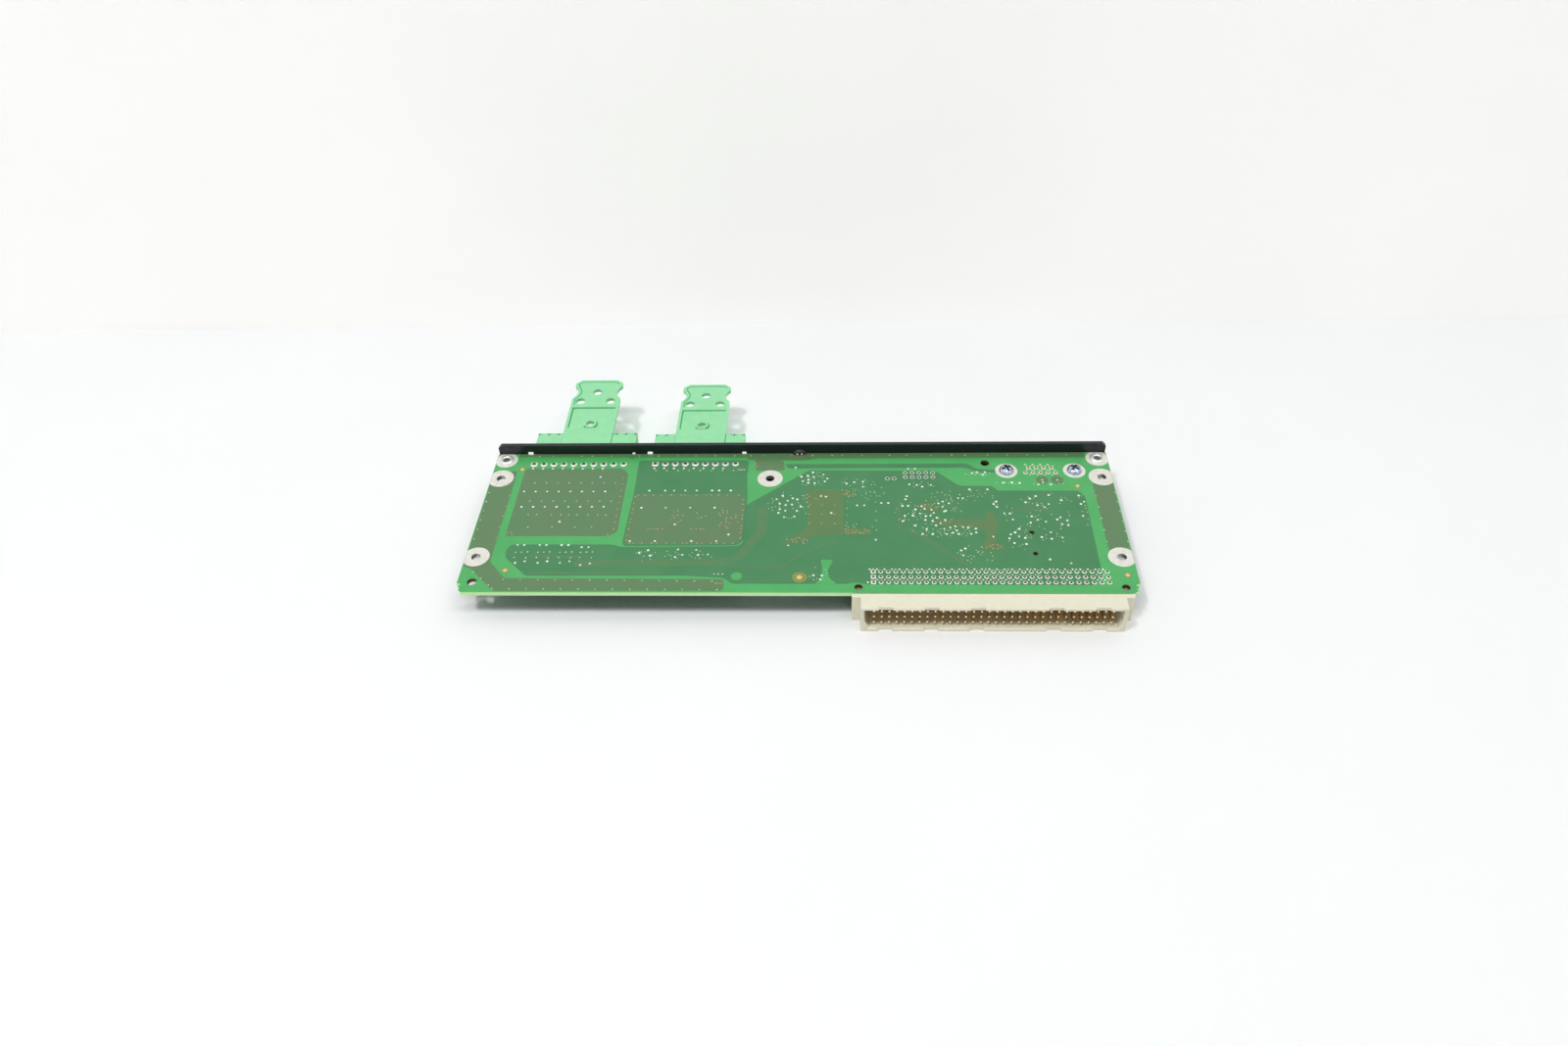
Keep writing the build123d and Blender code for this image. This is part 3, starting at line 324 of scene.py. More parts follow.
def rounded(corners, radius, steps=4):
    """An outline with its corners rounded."""
    outline = []
    for n, corner in enumerate(corners):
        here = Vector(corner)
        before = Vector(corners[n - 1]) - here
        after = Vector(corners[(n + 1) % len(corners)]) - here
        cut = min(radius, before.length / 2, after.length / 2)
        start = here + before.normalized() * cut
        end = here + after.normalized() * cut
        for k in range(steps + 1):
            t = k / steps
            outline.append(start * (1 - t) ** 2 + here * 2 * t * (1 - t) + end * t * t)
    return outline


def ring_of(x, y, radius, sides):
    """Points round a circle."""
    turn = 2 * pi / sides
    return [(x + radius * cos(turn * n), y + radius * sin(turn * n)) for n in range(sides)]


def add_plate(mesh, outline, low, high, holes=()):
    """A flat plate of that outline, open below, between two heights, with round holes."""
    area = sum(
        a[0] * b[1] - b[0] * a[1] for a, b in zip(outline, list(outline[1:]) + list(outline[:1]))
    )
    if area < 0:
        outline = outline[::-1]
    rims = [outline] + [ring_of(*hole, 24)[::-1] for hole in holes]
    edges = []
    for rim in rims:
        top = [mesh.verts.new((p[0], p[1], high)) for p in rim]
        foot = [mesh.verts.new((p[0], p[1], low)) for p in rim]
        for n in range(len(top)):
            mesh.faces.new((foot[n - 1], foot[n], top[n], top[n - 1]))
            edges.append(mesh.edges.get((top[n - 1], top[n])))
    if holes:
        bmesh.ops.triangle_fill(mesh, use_beauty=True, edges=edges, normal=(0, 0, 1))
    else:
        mesh.faces.new(top)


def is_inside(outline, x, y):
    """Whether a place lies within an outline."""
    crossings = 0
    for n in range(len(outline)):
        a, b = outline[n - 1], outline[n]
        if (a[1] > y) != (b[1] > y) and x < a[0] + (y - a[1]) * (b[0] - a[0]) / (b[1] - a[1]):
            crossings += 1
    return crossings % 2 == 1


def band(points, width):
    """The outline of a track of even width along the points."""
    left, right = [], []
    for n, point in enumerate(points):
        here = Vector(point)
        ahead = Vector(points[min(n + 1, len(points) - 1)])
        behind = Vector(points[max(n - 1, 0)])
        along = (ahead - behind).normalized()
        aside = Vector((-along.y, along.x)) * width / 2
        left.append(here + aside)
        right.append(here - aside)
    return left + right[::-1]


dark_copper = new_finish("mask over copper", 0.3)
add_mottle(dark_copper, (58, 128, 78), (66, 134, 84), 14.0, 0.01)
brown_copper = new_finish("mask over two layers of copper", 0.3)
add_mottle(brown_copper, (94, 126, 84), (84, 130, 84), 11.0, 0.01)
faint_copper = new_finish("mask over crossing tracks", 0.3)
add_mottle(faint_copper, (94, 126, 72), (82, 126, 74), 8.0, 0.01)

dark_fields = [
    [(-60.6, -5.1), (-18.8, -5.0), (-19.0, -13.8), (-18.2, -27.0), (-18.4, -49.2), (-20.6, -51.9),
     (-60.4, -52.2), (-61.2, -50.6), (-60.4, -24.4)],
    [(4.2, -11.0), (50.9, -11.5), (59.2, -20.1), (71.2, -20.2), (73.0, -22.9), (102.0, -23.0),
     (104.0, -26.2), (103.7, -66.4), (100.8, -71.3), (25.5, -71.1), (20.2, -70.0), (17.5, -70.8),
     (-21.0, -70.8), (-24.2, -68.0), (-37.1, -67.0), (-92.5, -67.1), (-101.2, -58.2),
     (-101.9, -54.8), (-100.7, -51.4), (-64.1, -51.4), (-61.7, -52.7), (-20.2, -52.3),
     (-18.5, -50.4), (-18.3, -30.4)],
    [(-5.2, -7.4), (63.0, -7.3), (66.6, -10.6), (75.0, -11.3), (75.0, -12.8), (66.6, -12.3),
     (62.1, -9.8), (-3.7, -10.0)],
]
brown_fields = [
    [(-103.4, -9.5), (-66.2, -9.7), (-63.8, -12.8), (-63.7, -44.7), (-66.6, -47.1),
     (-103.6, -47.1)],
    [(-60.0, -24.4), (-21.2, -24.5), (-18.9, -27.9), (-18.9, -48.4), (-21.2, -51.2),
     (-60.6, -51.3)],
    [(-115.1, -11.0), (inner_x, -11.0), (inner_x, -60.2), (-99.6, strip_y), (-24.5, -68.6),
     (-23.9, -69.9), (-23.9, -73.3), (-24.6, -74.1), (-102.5, -74.3), (-112.4, -63.4),
     (-115.1, -62.7)],
    [(-107.2, -0.95), (107.4, -0.95), (107.4, -4.0), (6.0, -4.1), (4.0, -5.2), (-18.0, -5.2),
     (-20.0, -3.4), (-62.0, -3.2), (-63.4, -3.9), (-66.0, -3.0), (-107.2, -2.7)],
    [(-16.6, -5.2), (-5.6, -5.4), (-4.9, -11.0), (-16.0, -11.2)],
    [(107.8, -18.7), (115.1, -18.7), (115.1, -53.3), (107.8, -54.4)],
]
faint_fields = [
    [(3.4, -22.1), (16.7, -22.1), (16.9, -46.4), (7.7, -47.2), (-0.7, -50.6), (-4.3, -52.6),
     (-3.8, -50.6), (3.4, -43.6), (4.6, -36.9), (3.4, -27.1)],
    [(17.0, -23.0), (19.6, -22.6), (21.0, -25.4), (17.4, -26.7)],
    [(16.9, -42.9), (26.1, -43.6), (26.7, -46.5), (16.9, -46.4)],
    [(43.5, -29.6), (47.0, -29.9), (52.8, -33.4), (47.0, -34.2), (43.2, -31.6)],
    [(48.6, -38.1), (67.0, -38.5), (68.4, -33.8), (70.0, -35.1), (71.3, -40.7), (69.6, -50.9),
     (72.8, -51.9), (72.4, -54.1), (64.7, -54.1), (66.8, -47.7), (66.0, -43.4), (48.4, -41.4)],
]
faint_bands = [
    band([(39.7, -42.7), (58.7, -61.5)], 1.7),
    band([(37.0, -27.4), (36.6, -44.0)], 1.2),
    band([(-12.3, -31.0), (-12.3, -45.0), (-19.3, -57.4), (-24.0, -60.4), (-76.6, -61.0)], 3.4),
    band([(-93.1, -57.4), (-70.3, -57.7)], 0.9),
    band([(-22.0, -62.4), (-4.0, -62.3), (3.6, -54.4), (14.0, -50.0)], 0.9),
    band([(-91.0, -65.6), (-46.0, -65.8)], 1.1),
    band([(76.0, -33.6), (92.0, -33.9)], 1.0),
]
band_copper = new_finish("mask over buried tracks", 0.3)
add_mottle(band_copper, (84, 129, 79), (75, 129, 81), 8.0, 0.01)
fields = (
    ("dark_copper_fields", dark_fields, dark_copper, 0.015),
    ("brown_copper_fields", brown_fields, brown_copper, 0.025),
    ("faint_copper_fields", faint_fields, faint_copper, 0.032),
    ("buried_tracks", faint_bands, band_copper, 0.028),
)
header_holes = [
    (44.85 + column * 2.54, y) for column in (-2, -1, 0, 1, 2) for y in (-12.68, -15.22)
]
field_holes = [(-111.7, y, 1.7) for y in (-57.75, -15.35)]
field_holes += [(82.65, y, 0.9) for y in (-56.05, -45.35)]
field_holes += [(x, y, 0.52) for x, y in header_holes]
for name, outlines, material, proud in fields:
    mesh = bmesh.new()
    for corners in outlines:
        holes = [hole for hole in field_holes if is_inside(corners, hole[0], hole[1])]
        add_plate(mesh, rounded(corners, field_corner), board_top, board_top + proud, holes)
    add_piece(name, mesh, material)

# Openings in the copper, back in the light green of the bare laminate: a round one and a notch between two
# digital blocks.
bare_opening = new_finish("mask over an opening", 0.3)
add_mottle(bare_opening, (70, 170, 92), (78, 177, 98), 9.0, 0.01)
opening_places = [(-19.8, -67.2, 1.9)]
opening_outlines = [
    [(8.8, -58.9), (13.2, -59.3), (11.2, -64.4), (11.7, -68.0), (14.5, -71.0), (6.7, -71.0),
     (9.2, -68.0), (9.4, -63.0)],
]
mesh = bmesh.new()
for x, y, radius in opening_places:
    add_plate(mesh, ring_of(x, y, radius, 32), board_top, board_top + 0.036)
for corners in opening_outlines:
    add_plate(mesh, rounded(corners, field_corner), board_top, board_top + 0.036)
add_piece("copper_openings", mesh, bare_opening)

# Vias and test points: tinned dots, large ones bare and bright, small ones brown with mask.
# They stand in rows round the power fields and in loose groups under the digital parts.
test_dot_radius = 0.46
small_dot_radius = 0.3
fine_dot_radius = 0.22
via_radius = 0.36
chance = Random(11)


def add_dot(mesh, x, y, radius, height, sides=8):
    """A low dome of solder on the board."""
    foot = [mesh.verts.new((px, py, board_top)) for px, py in ring_of(x, y, radius, sides)]
    inner = ring_of(x, y, radius * 0.6, sides)
    crown = [mesh.verts.new((px, py, board_top + height)) for px, py in inner]
    mesh.faces.new(crown)
    for n in range(sides):
        mesh.faces.new((foot[n - 1], foot[n], crown[n], crown[n - 1]))


def row(start, end, count):
    """Evenly spaced places from start to end."""
    return [Vector(start).lerp(Vector(end), n / (count - 1)) for n in range(count)]


def loose_row(start, end, count):
    """Places from start to end, a little uneven."""
    step = (Vector(end) - Vector(start)) / (count - 1)
    return [p + step * chance.uniform(-0.3, 0.3) for p in row(start, end, count)]


def group(x, y, half_width, half_depth, count, apart=1.1):
    """Loose places in an oval round a point, kept apart from each other."""
    places = []
    for _ in range(12 * count):
        angle, reach = chance.uniform(0, 2 * pi), chance.uniform(0.01, 1) ** 0.5
        spot = Vector((x + half_width * reach * cos(angle), y + half_depth * reach * sin(angle)))
        if len(places) < count and all((spot - other).length > apart for other in places):
            places.append(spot)
    return places


bright_dots = (
    row((-101.5, -22.8), (-71.2, -22.9), 8)
    + row((-100.8, -31.4), (-70.5, -31.4), 8)
    + row((-100.6, -9.7), (-74.0, -9.8), 8)
    + row((-54.4, -9.6), (-28.3, -9.7), 8)
    + row((-56.6, -32.0), (-29.9, -32.0), 4)
    + [Vector(p) for p in ((-74.1, -14.6), (-85.4, -39.5), (-43.5, -41.0), (-23.9, -46.3),
                           (-1.0, -9.4))]
    + [Vector((x, -22.5)) for x in (-54.8, -48.9, -45.6, -41.4, -37.2, -31.5, -28.9, -24.6)]
    + [Vector((x, -49.7)) for x in (-58.6, -49.7, -36.8, -28.0)]
)
for x, y in ((-97.0, -51.7), (-89.1, -51.7), (-81.3, -51.7), (-74.0, -52.8)):
    bright_dots += [Vector((x - 1.2, y)), Vector((x + 1.2, y))]
    bright_dots += [Vector((x - 0.3, y - 9.0)), Vector((x + 2.9, y - 8.2))]
for x in (-52.4, -42.0, -32.8):
    bright_dots += group(x, -56.2, 3.0, 2.8, 3, 2.0)
digital_groups = (
    (-3.0, -31.0, 6.5, 6.5, 15), (5.5, -15.8, 5.5, 3.6, 11), (9.2, -26.5, 2.4, 1.4, 2),
    (22.0, -18.5, 5.0, 3.2, 4), (45.5, -19.4, 4.5, 1.4, 4), (39.0, -32.0, 3.4, 8.0, 7),
    (47.5, -38.5, 6.5, 9.0, 19), (57.5, -44.5, 6.5, 2.6, 12), (56.0, -30.0, 6.0, 4.5, 7),
    (71.5, -28.5, 1.2, 3.5, 3), (60.0, -55.0, 3.0, 4.0, 3), (77.8, -48.4, 4.0, 5.6, 8),
    (77.0, -36.0, 3.0, 4.5, 3), (90.0, -28.5, 8.0, 3.6, 8), (90.0, -38.5, 8.0, 4.6, 9),
    (90.0, -48.0, 5.0, 2.8, 4), (102.4, -32.0, 1.0, 9.0, 4), (66.4, -13.4, 4.0, 1.8, 4),
    (77.4, -18.6, 4.0, 0.8, 3), (92.0, -19.0, 5.0, 1.0, 3), (8.8, -66.2, 3.2, 3.2, 3),
)
for x, y, half_width, half_depth, count in digital_groups:
    bright_dots += group(x, y, half_width, half_depth, count, 1.7)
bright_dots += row((41.0, -10.3), (43.6, -10.3), 2) + row((62.8, -22.2), (69.3, -22.2), 2)
bright_dots += row((21.7, -30.9), (24.3, -30.9), 2) + row((30.5, -29.6), (33.0, -29.6), 2)
bright_dots += [Vector(p) for p in ((12.4, -35.0), (28.0, -49.1), (-2.6, -51.9), (87.2, -58.9),
                                    (94.1, -60.8), (69.0, -47.5))]

small_dots = (
    row((-98.3, -18.0), (-68.1, -18.1), 8)
    + row((-98.3, -28.2), (-68.1, -28.3), 8)
    + loose_row((-97.0, -35.6), (-69.1, -35.9), 9)
    + loose_row((-95.3, -42.4), (-72.5, -42.4), 4)
    + row((-53.6, -11.0), (-24.3, -11.0), 8)
    + row((-22.6, -10.6), (-20.2, -10.6), 4)
    + row((-27.5, -66.1), (-24.6, -66.1), 3)
    + row((-99.8, -68.8), (-28.0, -69.6), 13)
    + row((-102.8, -73.3), (-26.0, -73.6), 14)
    + row((-114.4, -23.5), (-114.4, -48.5), 6)
    + row((-111.0, -65.1), (-104.4, -71.5), 3)
    + row((115.0, -24.0), (115.0, -50.0), 6)
    + row((107.9, -26.0), (107.9, -50.0), 5)
    + loose_row((-100.0, -2.2), (100.0, -2.4), 28)
)
for x in (-97.0, -89.1, -81.3, -74.0):
    small_dots += row((x - 1.2, -55.4), (x + 3.0, -55.2), 3)
    small_dots += row((x - 1.2, -58.0), (x + 3.0, -58.2), 2)
fine_dots = row((18.0, -25.0), (18.0, -40.0), 5) + row((28.4, -24.0), (28.4, -44.0), 5)
for x in (-52.4, -42.0, -32.8):
    fine_dots += group(x, -56.8, 4.0, 3.4, 9)
for x, y, half_width, half_depth, count in digital_groups:
    fine_dots += group(x, y, half_width * 1.2, half_depth * 1.2, 2 * count, 0.9)
fine_dots += group(24.0, -22.0, 9.0, 6.0, 26) + group(22.0, -43.0, 6.0, 2.6, 12)
fine_dots += group(60.0, -26.0, 12.0, 4.0, 24) + group(62.0, -57.0, 8.0, 4.0, 12)

brown_dots = (
    row((-65.3, -15.1), (-65.2, -43.4), 9)
    + [Vector(p) for p in ((-67.0, -46.2), (-102.0, -44.8), (-101.4, -46.1), (-103.0, -45.4))]
    + loose_row((-59.0, -25.0), (-22.0, -25.1), 13)
    + loose_row((-59.0, -50.8), (-22.0, -50.8), 15)
    + loose_row((-59.6, -26.6), (-59.9, -49.0), 9)
    + loose_row((-19.6, -28.0), (-19.6, -48.6), 9)
    + loose_row((-53.0, -43.4), (-48.0, -43.4), 5)
    + loose_row((-37.6, -43.4), (-32.6, -43.4), 4)
    + row((-26.6, -70.6), (-24.6, -70.6), 3)
    + row((-16.2, -7.0), (-15.6, -8.6), 2)
    + group(-43.0, -36.5, 2.8, 3.4, 9)
    + group(-25.0, -38.0, 4.4, 5.4, 18)
    + group(-34.0, -36.0, 3.0, 3.0, 4)
    + group(3.6, -25.6, 1.2, 1.6, 4)
    + group(19.0, -24.6, 2.0, 1.4, 6)
    + group(0.0, -49.6, 4.6, 1.6, 10)
    + group(21.0, -45.0, 4.4, 1.1, 10)
    + group(47.5, -31.6, 4.0, 1.2, 7)
    + group(68.4, -52.6, 4.0, 1.0, 8)
    + row((-106.6, -25.2), (-106.6, -47.8), 5)
)
for x in (4.6, 9.0, 13.6):
    brown_dots += row((x, -30.6), (x, -40.6), 3)
dull_tin = new_finish("solder on test points", 0.4, 0.1)
add_mottle(dull_tin, (252, 254, 246), (232, 240, 222), 0.6)
small_tin = new_finish("solder in small vias", 0.4, 0.1)
add_mottle(small_tin, (228, 224, 190), (196, 206, 164), 0.6)
masked_via = new_finish("mask over a via", 0.35)
add_mottle(masked_via, (204, 154, 122), (188, 150, 110), 0.7)
for name, places, radius, height, material, slot in (
    ("test_points", bright_dots, test_dot_radius, 0.12, dull_tin, "tinned"),
    ("small_vias", small_dots, small_dot_radius, 0.09, small_tin, "tinned"),
    ("fine_vias", fine_dots, fine_dot_radius, 0.07, small_tin, "tinned"),
    ("masked_vias", brown_dots, via_radius, 0.06, masked_via, "board"),
):
    mesh = bmesh.new()
    for spot in places:
        add_dot(mesh, spot.x, spot.y, radius * chance.uniform(0.85, 1.15), height)
    add_piece(name, mesh, material)

# Lands: flat rings of tinned copper round the four fixing holes, the middle hole, the two
# rivets and the two board screws. They are pale and a little uneven where solder has flowed.
land_proud = 0.05
land_rings = (
    [(side * 111.7, y, 4.75, 1.65) for side in (-1, 1) for y in (-57.75, -15.35)]
    + [(side * 111.64, -4.65, 4.25, 1.75) for side in (-1, 1)]
    + [(-10.4, -15.75, 4.7, 1.65)]
    + [(89.7 + side * 12.5, -11.7, 4.1, 1.5) for side in (-1, 1)]
)


def add_ring(mesh, x, y, outer, inner, low, high, sides=48, half_width=None, back=None):
    """A flat ring with its outer wall, cut off at the board's ends and back edge."""
    def kept(points):
        if half_width is None:
            return points
        return [(max(-half_width, min(half_width, px)), min(back, py)) for px, py in points]

    rim = kept(ring_of(x, y, outer, sides))
    foot = [mesh.verts.new((px, py, low)) for px, py in rim]
    edge = [mesh.verts.new((px, py, high)) for px, py in rim]
    bore = [mesh.verts.new((px, py, high)) for px, py in ring_of(x, y, inner, sides)]
    for n in range(sides):
        mesh.faces.new((foot[n - 1], foot[n], edge[n], edge[n - 1]))
        mesh.faces.new((edge[n - 1], edge[n], bore[n], bore[n - 1]))


tinned_land = new_finish("tinned land", 0.42, 0.25)
add_mottle(tinned_land, (236, 234, 227), (222, 218, 208), 1.6, 0.02)
mesh = bmesh.new()
for x, y, outer, inner in land_rings:
    add_ring(
        mesh, x, y, outer, inner, board_top, board_top + land_proud,
        half_width=board_high.x - 0.1, back=board_high.y - 0.1,
    )
add_piece("tinned_lands", mesh, tinned_land, smooth=True)

# Walls of the holes: dark plated barrels in the lands, and brown bare laminate in the tooling,
# guide, peg and fixing holes.
plated_bores = [(side * 111.7, y, 1.58) for side in (-1, 1) for y in (-57.75, -15.35)]
plated_bores += [(-10.4, -15.75, 1.58)]
plain_bores = [
    (-110.4, -70.0, 1.64), (69.7, -7.1, 1.59), (82.65, -56.05, 0.86), (82.65, -45.35, 0.86),
    (21.65, -72.35, 1.38), (110.55, -72.35, 1.38),
]


def add_bore(mesh, x, y, radius, sides=32):
    """The wall of a hole through the board."""
    low = [mesh.verts.new((px, py, board_under)) for px, py in ring_of(x, y, radius, sides)]
    high = [mesh.verts.new((px, py, board_top)) for px, py in ring_of(x, y, radius, sides)]
    for n in range(sides):
        mesh.faces.new((low[n], low[n - 1], high[n - 1], high[n]))


plated_wall = new_finish("plated wall of a hole", 0.3, 0.7)
add_mottle(plated_wall, (196, 194, 188), (150, 146, 140), 0.7)
laminate_wall = new_finish("drilled laminate", 0.7)
add_mottle(laminate_wall, (104, 78, 46), (78, 60, 36), 0.6)
for name, places, material, slot in (
    ("plated_walls", plated_bores, plated_wall, "tinned"),
    ("drilled_walls", plain_bores, laminate_wall, "board"),
):
    mesh = bmesh.new()
    for x, y, radius in places:
        add_bore(mesh, x, y, radius)
    add_piece(name, mesh, material, smooth=True)

# Small rings and marks: bare plated holes of the test header, a gold test pad, two covered
# pads by the nine-way connector, and small gold marks that a placing machine finds the board by.
blind_holes = [(33.1, -16.0), (35.6, -16.0)]
gold_pad = (1.7, -67.7)
covered_pads = [(89.8, -17.0), (95.3, -17.0)]
mark_places = [(-104.6, -10.1), (-100.1, -64.4), (102.1, -20.3), (112.0, -66.4)]
mesh = bmesh.new()
for x, y in header_holes + blind_holes:
    add_ring(mesh, x, y, 0.84, 0.62, board_top, board_top + 0.05, sides=16)
add_piece("plated_holes", mesh, dull_tin)
# Painted shade inside the holes: the test header's hole walls drawn dark, a dark disc part way down each of its
# holes, a dark ring at each rim, and a dark disc over each blind via.
painted_hole_shade = new_finish("painted shade inside a hole", 0.6)
add_mottle(painted_hole_shade, (30, 36, 28), (42, 38, 28), 0.8)
mesh = bmesh.new()
for x, y in header_holes:
    add_bore(mesh, x, y, 0.5, 16)
add_piece("test_header_walls", mesh, painted_hole_shade, smooth=True)
mesh = bmesh.new()
for x, y in blind_holes:
    add_plate(mesh, ring_of(x, y, 0.64, 16), board_top, board_top + 0.045)
for x, y in header_holes:
    add_plate(mesh, ring_of(x, y, 0.49, 16), board_top - 0.6, board_top - 0.5)
    add_ring(mesh, x, y, 0.64, 0.5, board_top, board_top + 0.045, sides=16)
add_piece("painted_hole_shade_discs", mesh, painted_hole_shade)
gold_rim = new_finish("gold over copper", 0.35, 0.5)
add_mottle(gold_rim, (138, 144, 74), (152, 152, 84), 1.4)
mesh = bmesh.new()
add_plate(mesh, ring_of(*gold_pad, 2.5, 40), board_top, board_top + 0.04)
for x, y in mark_places:
    add_plate(mesh, ring_of(x, y, 1.6, 4), board_top, board_top + 0.04)
add_piece("gold_pad_rim", mesh, gold_rim)
gold_middle = new_finish("bare gold", 0.3, 0.6)
add_mottle(gold_middle, (226, 220, 160), (198, 192, 126), 1.2)
mesh = bmesh.new()
add_plate(mesh, ring_of(*gold_pad, 1.0, 32), board_top, board_top + 0.055)
add_dot(mesh, *gold_pad, 0.45, 0.1)
for x, y in mark_places:
    add_plate(mesh, ring_of(x, y, 1.0, 4), board_top, board_top + 0.05)
add_piece("gold_marks", mesh, gold_middle)
mesh = bmesh.new()
for x, y in covered_pads:
    add_plate(mesh, ring_of(x, y, 2.3, 32), board_top, board_top + 0.034)
add_piece("covered_pads", mesh, brown_copper)
mesh = bmesh.new()
for x, y in covered_pads:
    add_dot(mesh, x, y, 0.5, 0.08)
add_piece("covered_pad_vias", mesh, small_tin)

# Solder joints on the solder side: the 96 tails of the backplane connector, the 19 of the
# terminal headers and the 9 of the nine-way connector, each a smooth cone round its pin.
connector_x = 66.1
connector_pitch = 2.54
connector_rows = (-70.05, -67.51, -64.97)
terminal_pitch = 3.81
terminal_y = -7.15
terminal_middles = {10: -83.53, 9: -39.05}
nine_way_x = 89.7
nine_way_pitch = 2.77
nine_way_rows = ((4, -10.0), (5, -12.75))


def add_turned(mesh, x, y, profile, sides=24, base=None):
    """A turned form: the profile is a list of radius and height, from the middle outwards."""
    base = board_top if base is None else base
    rings = []
    for radius, height in profile:
        if radius == 0:
            rings.append([mesh.verts.new((x, y, base + height))] * sides)
        else:
            rings.append([
                mesh.verts.new((px, py, base + height)) for px, py in ring_of(x, y, radius, sides)
            ])
    for inner, outer in zip(rings, rings[1:]):
        for n in range(sides):
            corners = [inner[n - 1], outer[n - 1], outer[n], inner[n]]
            mesh.faces.new(list(dict.fromkeys(corners)))


def columns(middle, pitch, count):
    """The x of each place in a row."""
    return [middle + (n - (count - 1) / 2) * pitch for n in range(count)]


solder = new_finish("solder joint", 0.32, 0.3)
add_mottle(solder, (248, 250, 240), (222, 226, 216), 0.5, 0.02)
# The clipped pin ends are real, but their dark greenish tone is painted shade of the hollow of each joint.
pin_end_in_painted_shade = new_finish("clipped pin end, darkened as painted shade", 0.35, 0.6)
add_mottle(pin_end_in_painted_shade, (92, 98, 80), (66, 72, 58), 0.4, 0.01)
small_joint = [(0.52, 0.12), (0.58, 0.08), (0.8, 0.05), (0.84, 0.0)]
large_joint = [(0.7, 0.3), (0.78, 0.16), (0.95, 0.09), (1.24, 0.06), (1.32, 0.0)]
small_pin = [(0.0, 0.44), (0.3, 0.43), (0.34, 0.38), (0.4, 0.2), (0.54, 0.1)]
large_pin = [(0.0, 0.6), (0.52, 0.59), (0.6, 0.53), (0.72, 0.28)]
square_corners = ((-1, -1), (1, -1), (1, 1), (-1, 1))
joints = [
    (x, y, small_joint, small_pin)
    for x in columns(connector_x, connector_pitch, 32) for y in connector_rows
]
joints += [
    (x, y, small_joint, small_pin)
    for count, y in nine_way_rows for x in columns(nine_way_x, nine_way_pitch, count)
]
joints += [
    (x, terminal_y, large_joint, large_pin)
    for ways, middle in terminal_middles.items() for x in columns(middle, terminal_pitch, ways)
]
mesh = bmesh.new()
ends = bmesh.new()
for x, y, joint, pin in joints:
    add_turned(mesh, x, y, joint, 20)
    add_turned(ends, x, y, pin, 20)
for ways, middle in terminal_middles.items():
    first_x = columns(middle, terminal_pitch, ways)[0]
    square = [(first_x + i * 1.2, terminal_y + j * 1.2) for i, j in square_corners]
    add_plate(mesh, square, board_top, board_top + 0.055)
first_x = columns(connector_x, connector_pitch, 32)[0]
for y in connector_rows:
    square = [(first_x + i * 0.86, y + j * 0.86) for i, j in square_corners]
    add_plate(mesh, square, board_top, board_top + 0.045)
add_piece("solder_joints", mesh, solder, smooth=True)
add_piece("pin_ends", ends, pin_end_in_painted_shade, smooth=True)

# Between the connector's pads a bright test dot sits on most diagonals, and a loose line of
# them runs in front of the first row. The nine-way pads are joined by fine zig-zag tracks.
mesh = bmesh.new()
for n, x in enumerate(columns(connector_x, connector_pitch, 32)):
    add_dot(mesh, x - 1.2, connector_rows[2] + 1.25, 0.38, 0.12)
    if n % 3 == 0:
        add_dot(mesh, x, connector_rows[2] + 1.3, 0.26, 0.1)
    if 12 < n < 22 or n in (25, 29, 30):
        add_dot(mesh, x + 1.27, connector_rows[1] + 1.2, 0.28, 0.1)
    if n < 22 or n in (25, 29, 30):
        add_dot(mesh, x + 1.27, connector_rows[0] + 1.27, 0.34, 0.12)
add_dot(mesh, first_x - 1.9, connector_rows[0], 0.42, 0.12)
add_piece("connector_test_points", mesh, dull_tin)
bare_track = new_finish("tinned track", 0.4, 0.3)
add_mottle(bare_track, (226, 232, 206), (196, 216, 176), 0.8)
mesh = bmesh.new()
near_x = columns(nine_way_x, nine_way_pitch, 4)
far_x = columns(nine_way_x, nine_way_pitch, 5)
for n, x in enumerate(near_x):
    add_plate(mesh, band([(x - 1.0, -8.0), (x, -10.0), (x - 0.7, -11.4), (far_x[n], -12.75)], 0.28),
              board_top, board_top + 0.045)
    add_plate(mesh, band([(x + 0.2, -9.8), (x + 1.4, -11.6), (far_x[n + 1], -12.75)], 0.28),
              board_top, board_top + 0.045)
for n, x in enumerate(near_x):
    add_dot(mesh, x - 1.0, -8.0, 0.38, 0.12)
    add_dot(mesh, x + 0.9, -8.9, 0.3, 0.1)
for x in far_x[1:]:
    add_dot(mesh, x - 1.3, -13.9, 0.34, 0.12)
add_piece("nine_way_tracks", mesh, bare_track)


# Front panel: black painted sheet. Its edges, and those of most finishes below, get a painted highlight: a paler
# colour where the rounded normal turns away from the face.
painted_edge_highlight, given, result = new_effect(
    "painted edge highlight",
    [("Colour", "NodeSocketColor"), ("Edge", "NodeSocketColor"), ("Width", "NodeSocketFloat")],
    [("Colour", "NodeSocketColor"), ("Highlight", "NodeSocketFloat")],
)
soft = painted_edge_highlight.nodes.new("ShaderNodeBevel")
soft.samples = 4
hard = painted_edge_highlight.nodes.new("ShaderNodeNewGeometry")
turn = painted_edge_highlight.nodes.new("ShaderNodeVectorMath")
turn.operation = "DOT_PRODUCT"
near_edge = painted_edge_highlight.nodes.new("ShaderNodeMapRange")
near_edge.inputs["From Min"].default_value = 0.99
near_edge.inputs["From Max"].default_value = 0.8
blend = painted_edge_highlight.nodes.new("ShaderNodeMix")
blend.data_type = "RGBA"
painted_edge_highlight.links.new(given.outputs["Width"], soft.inputs["Radius"])
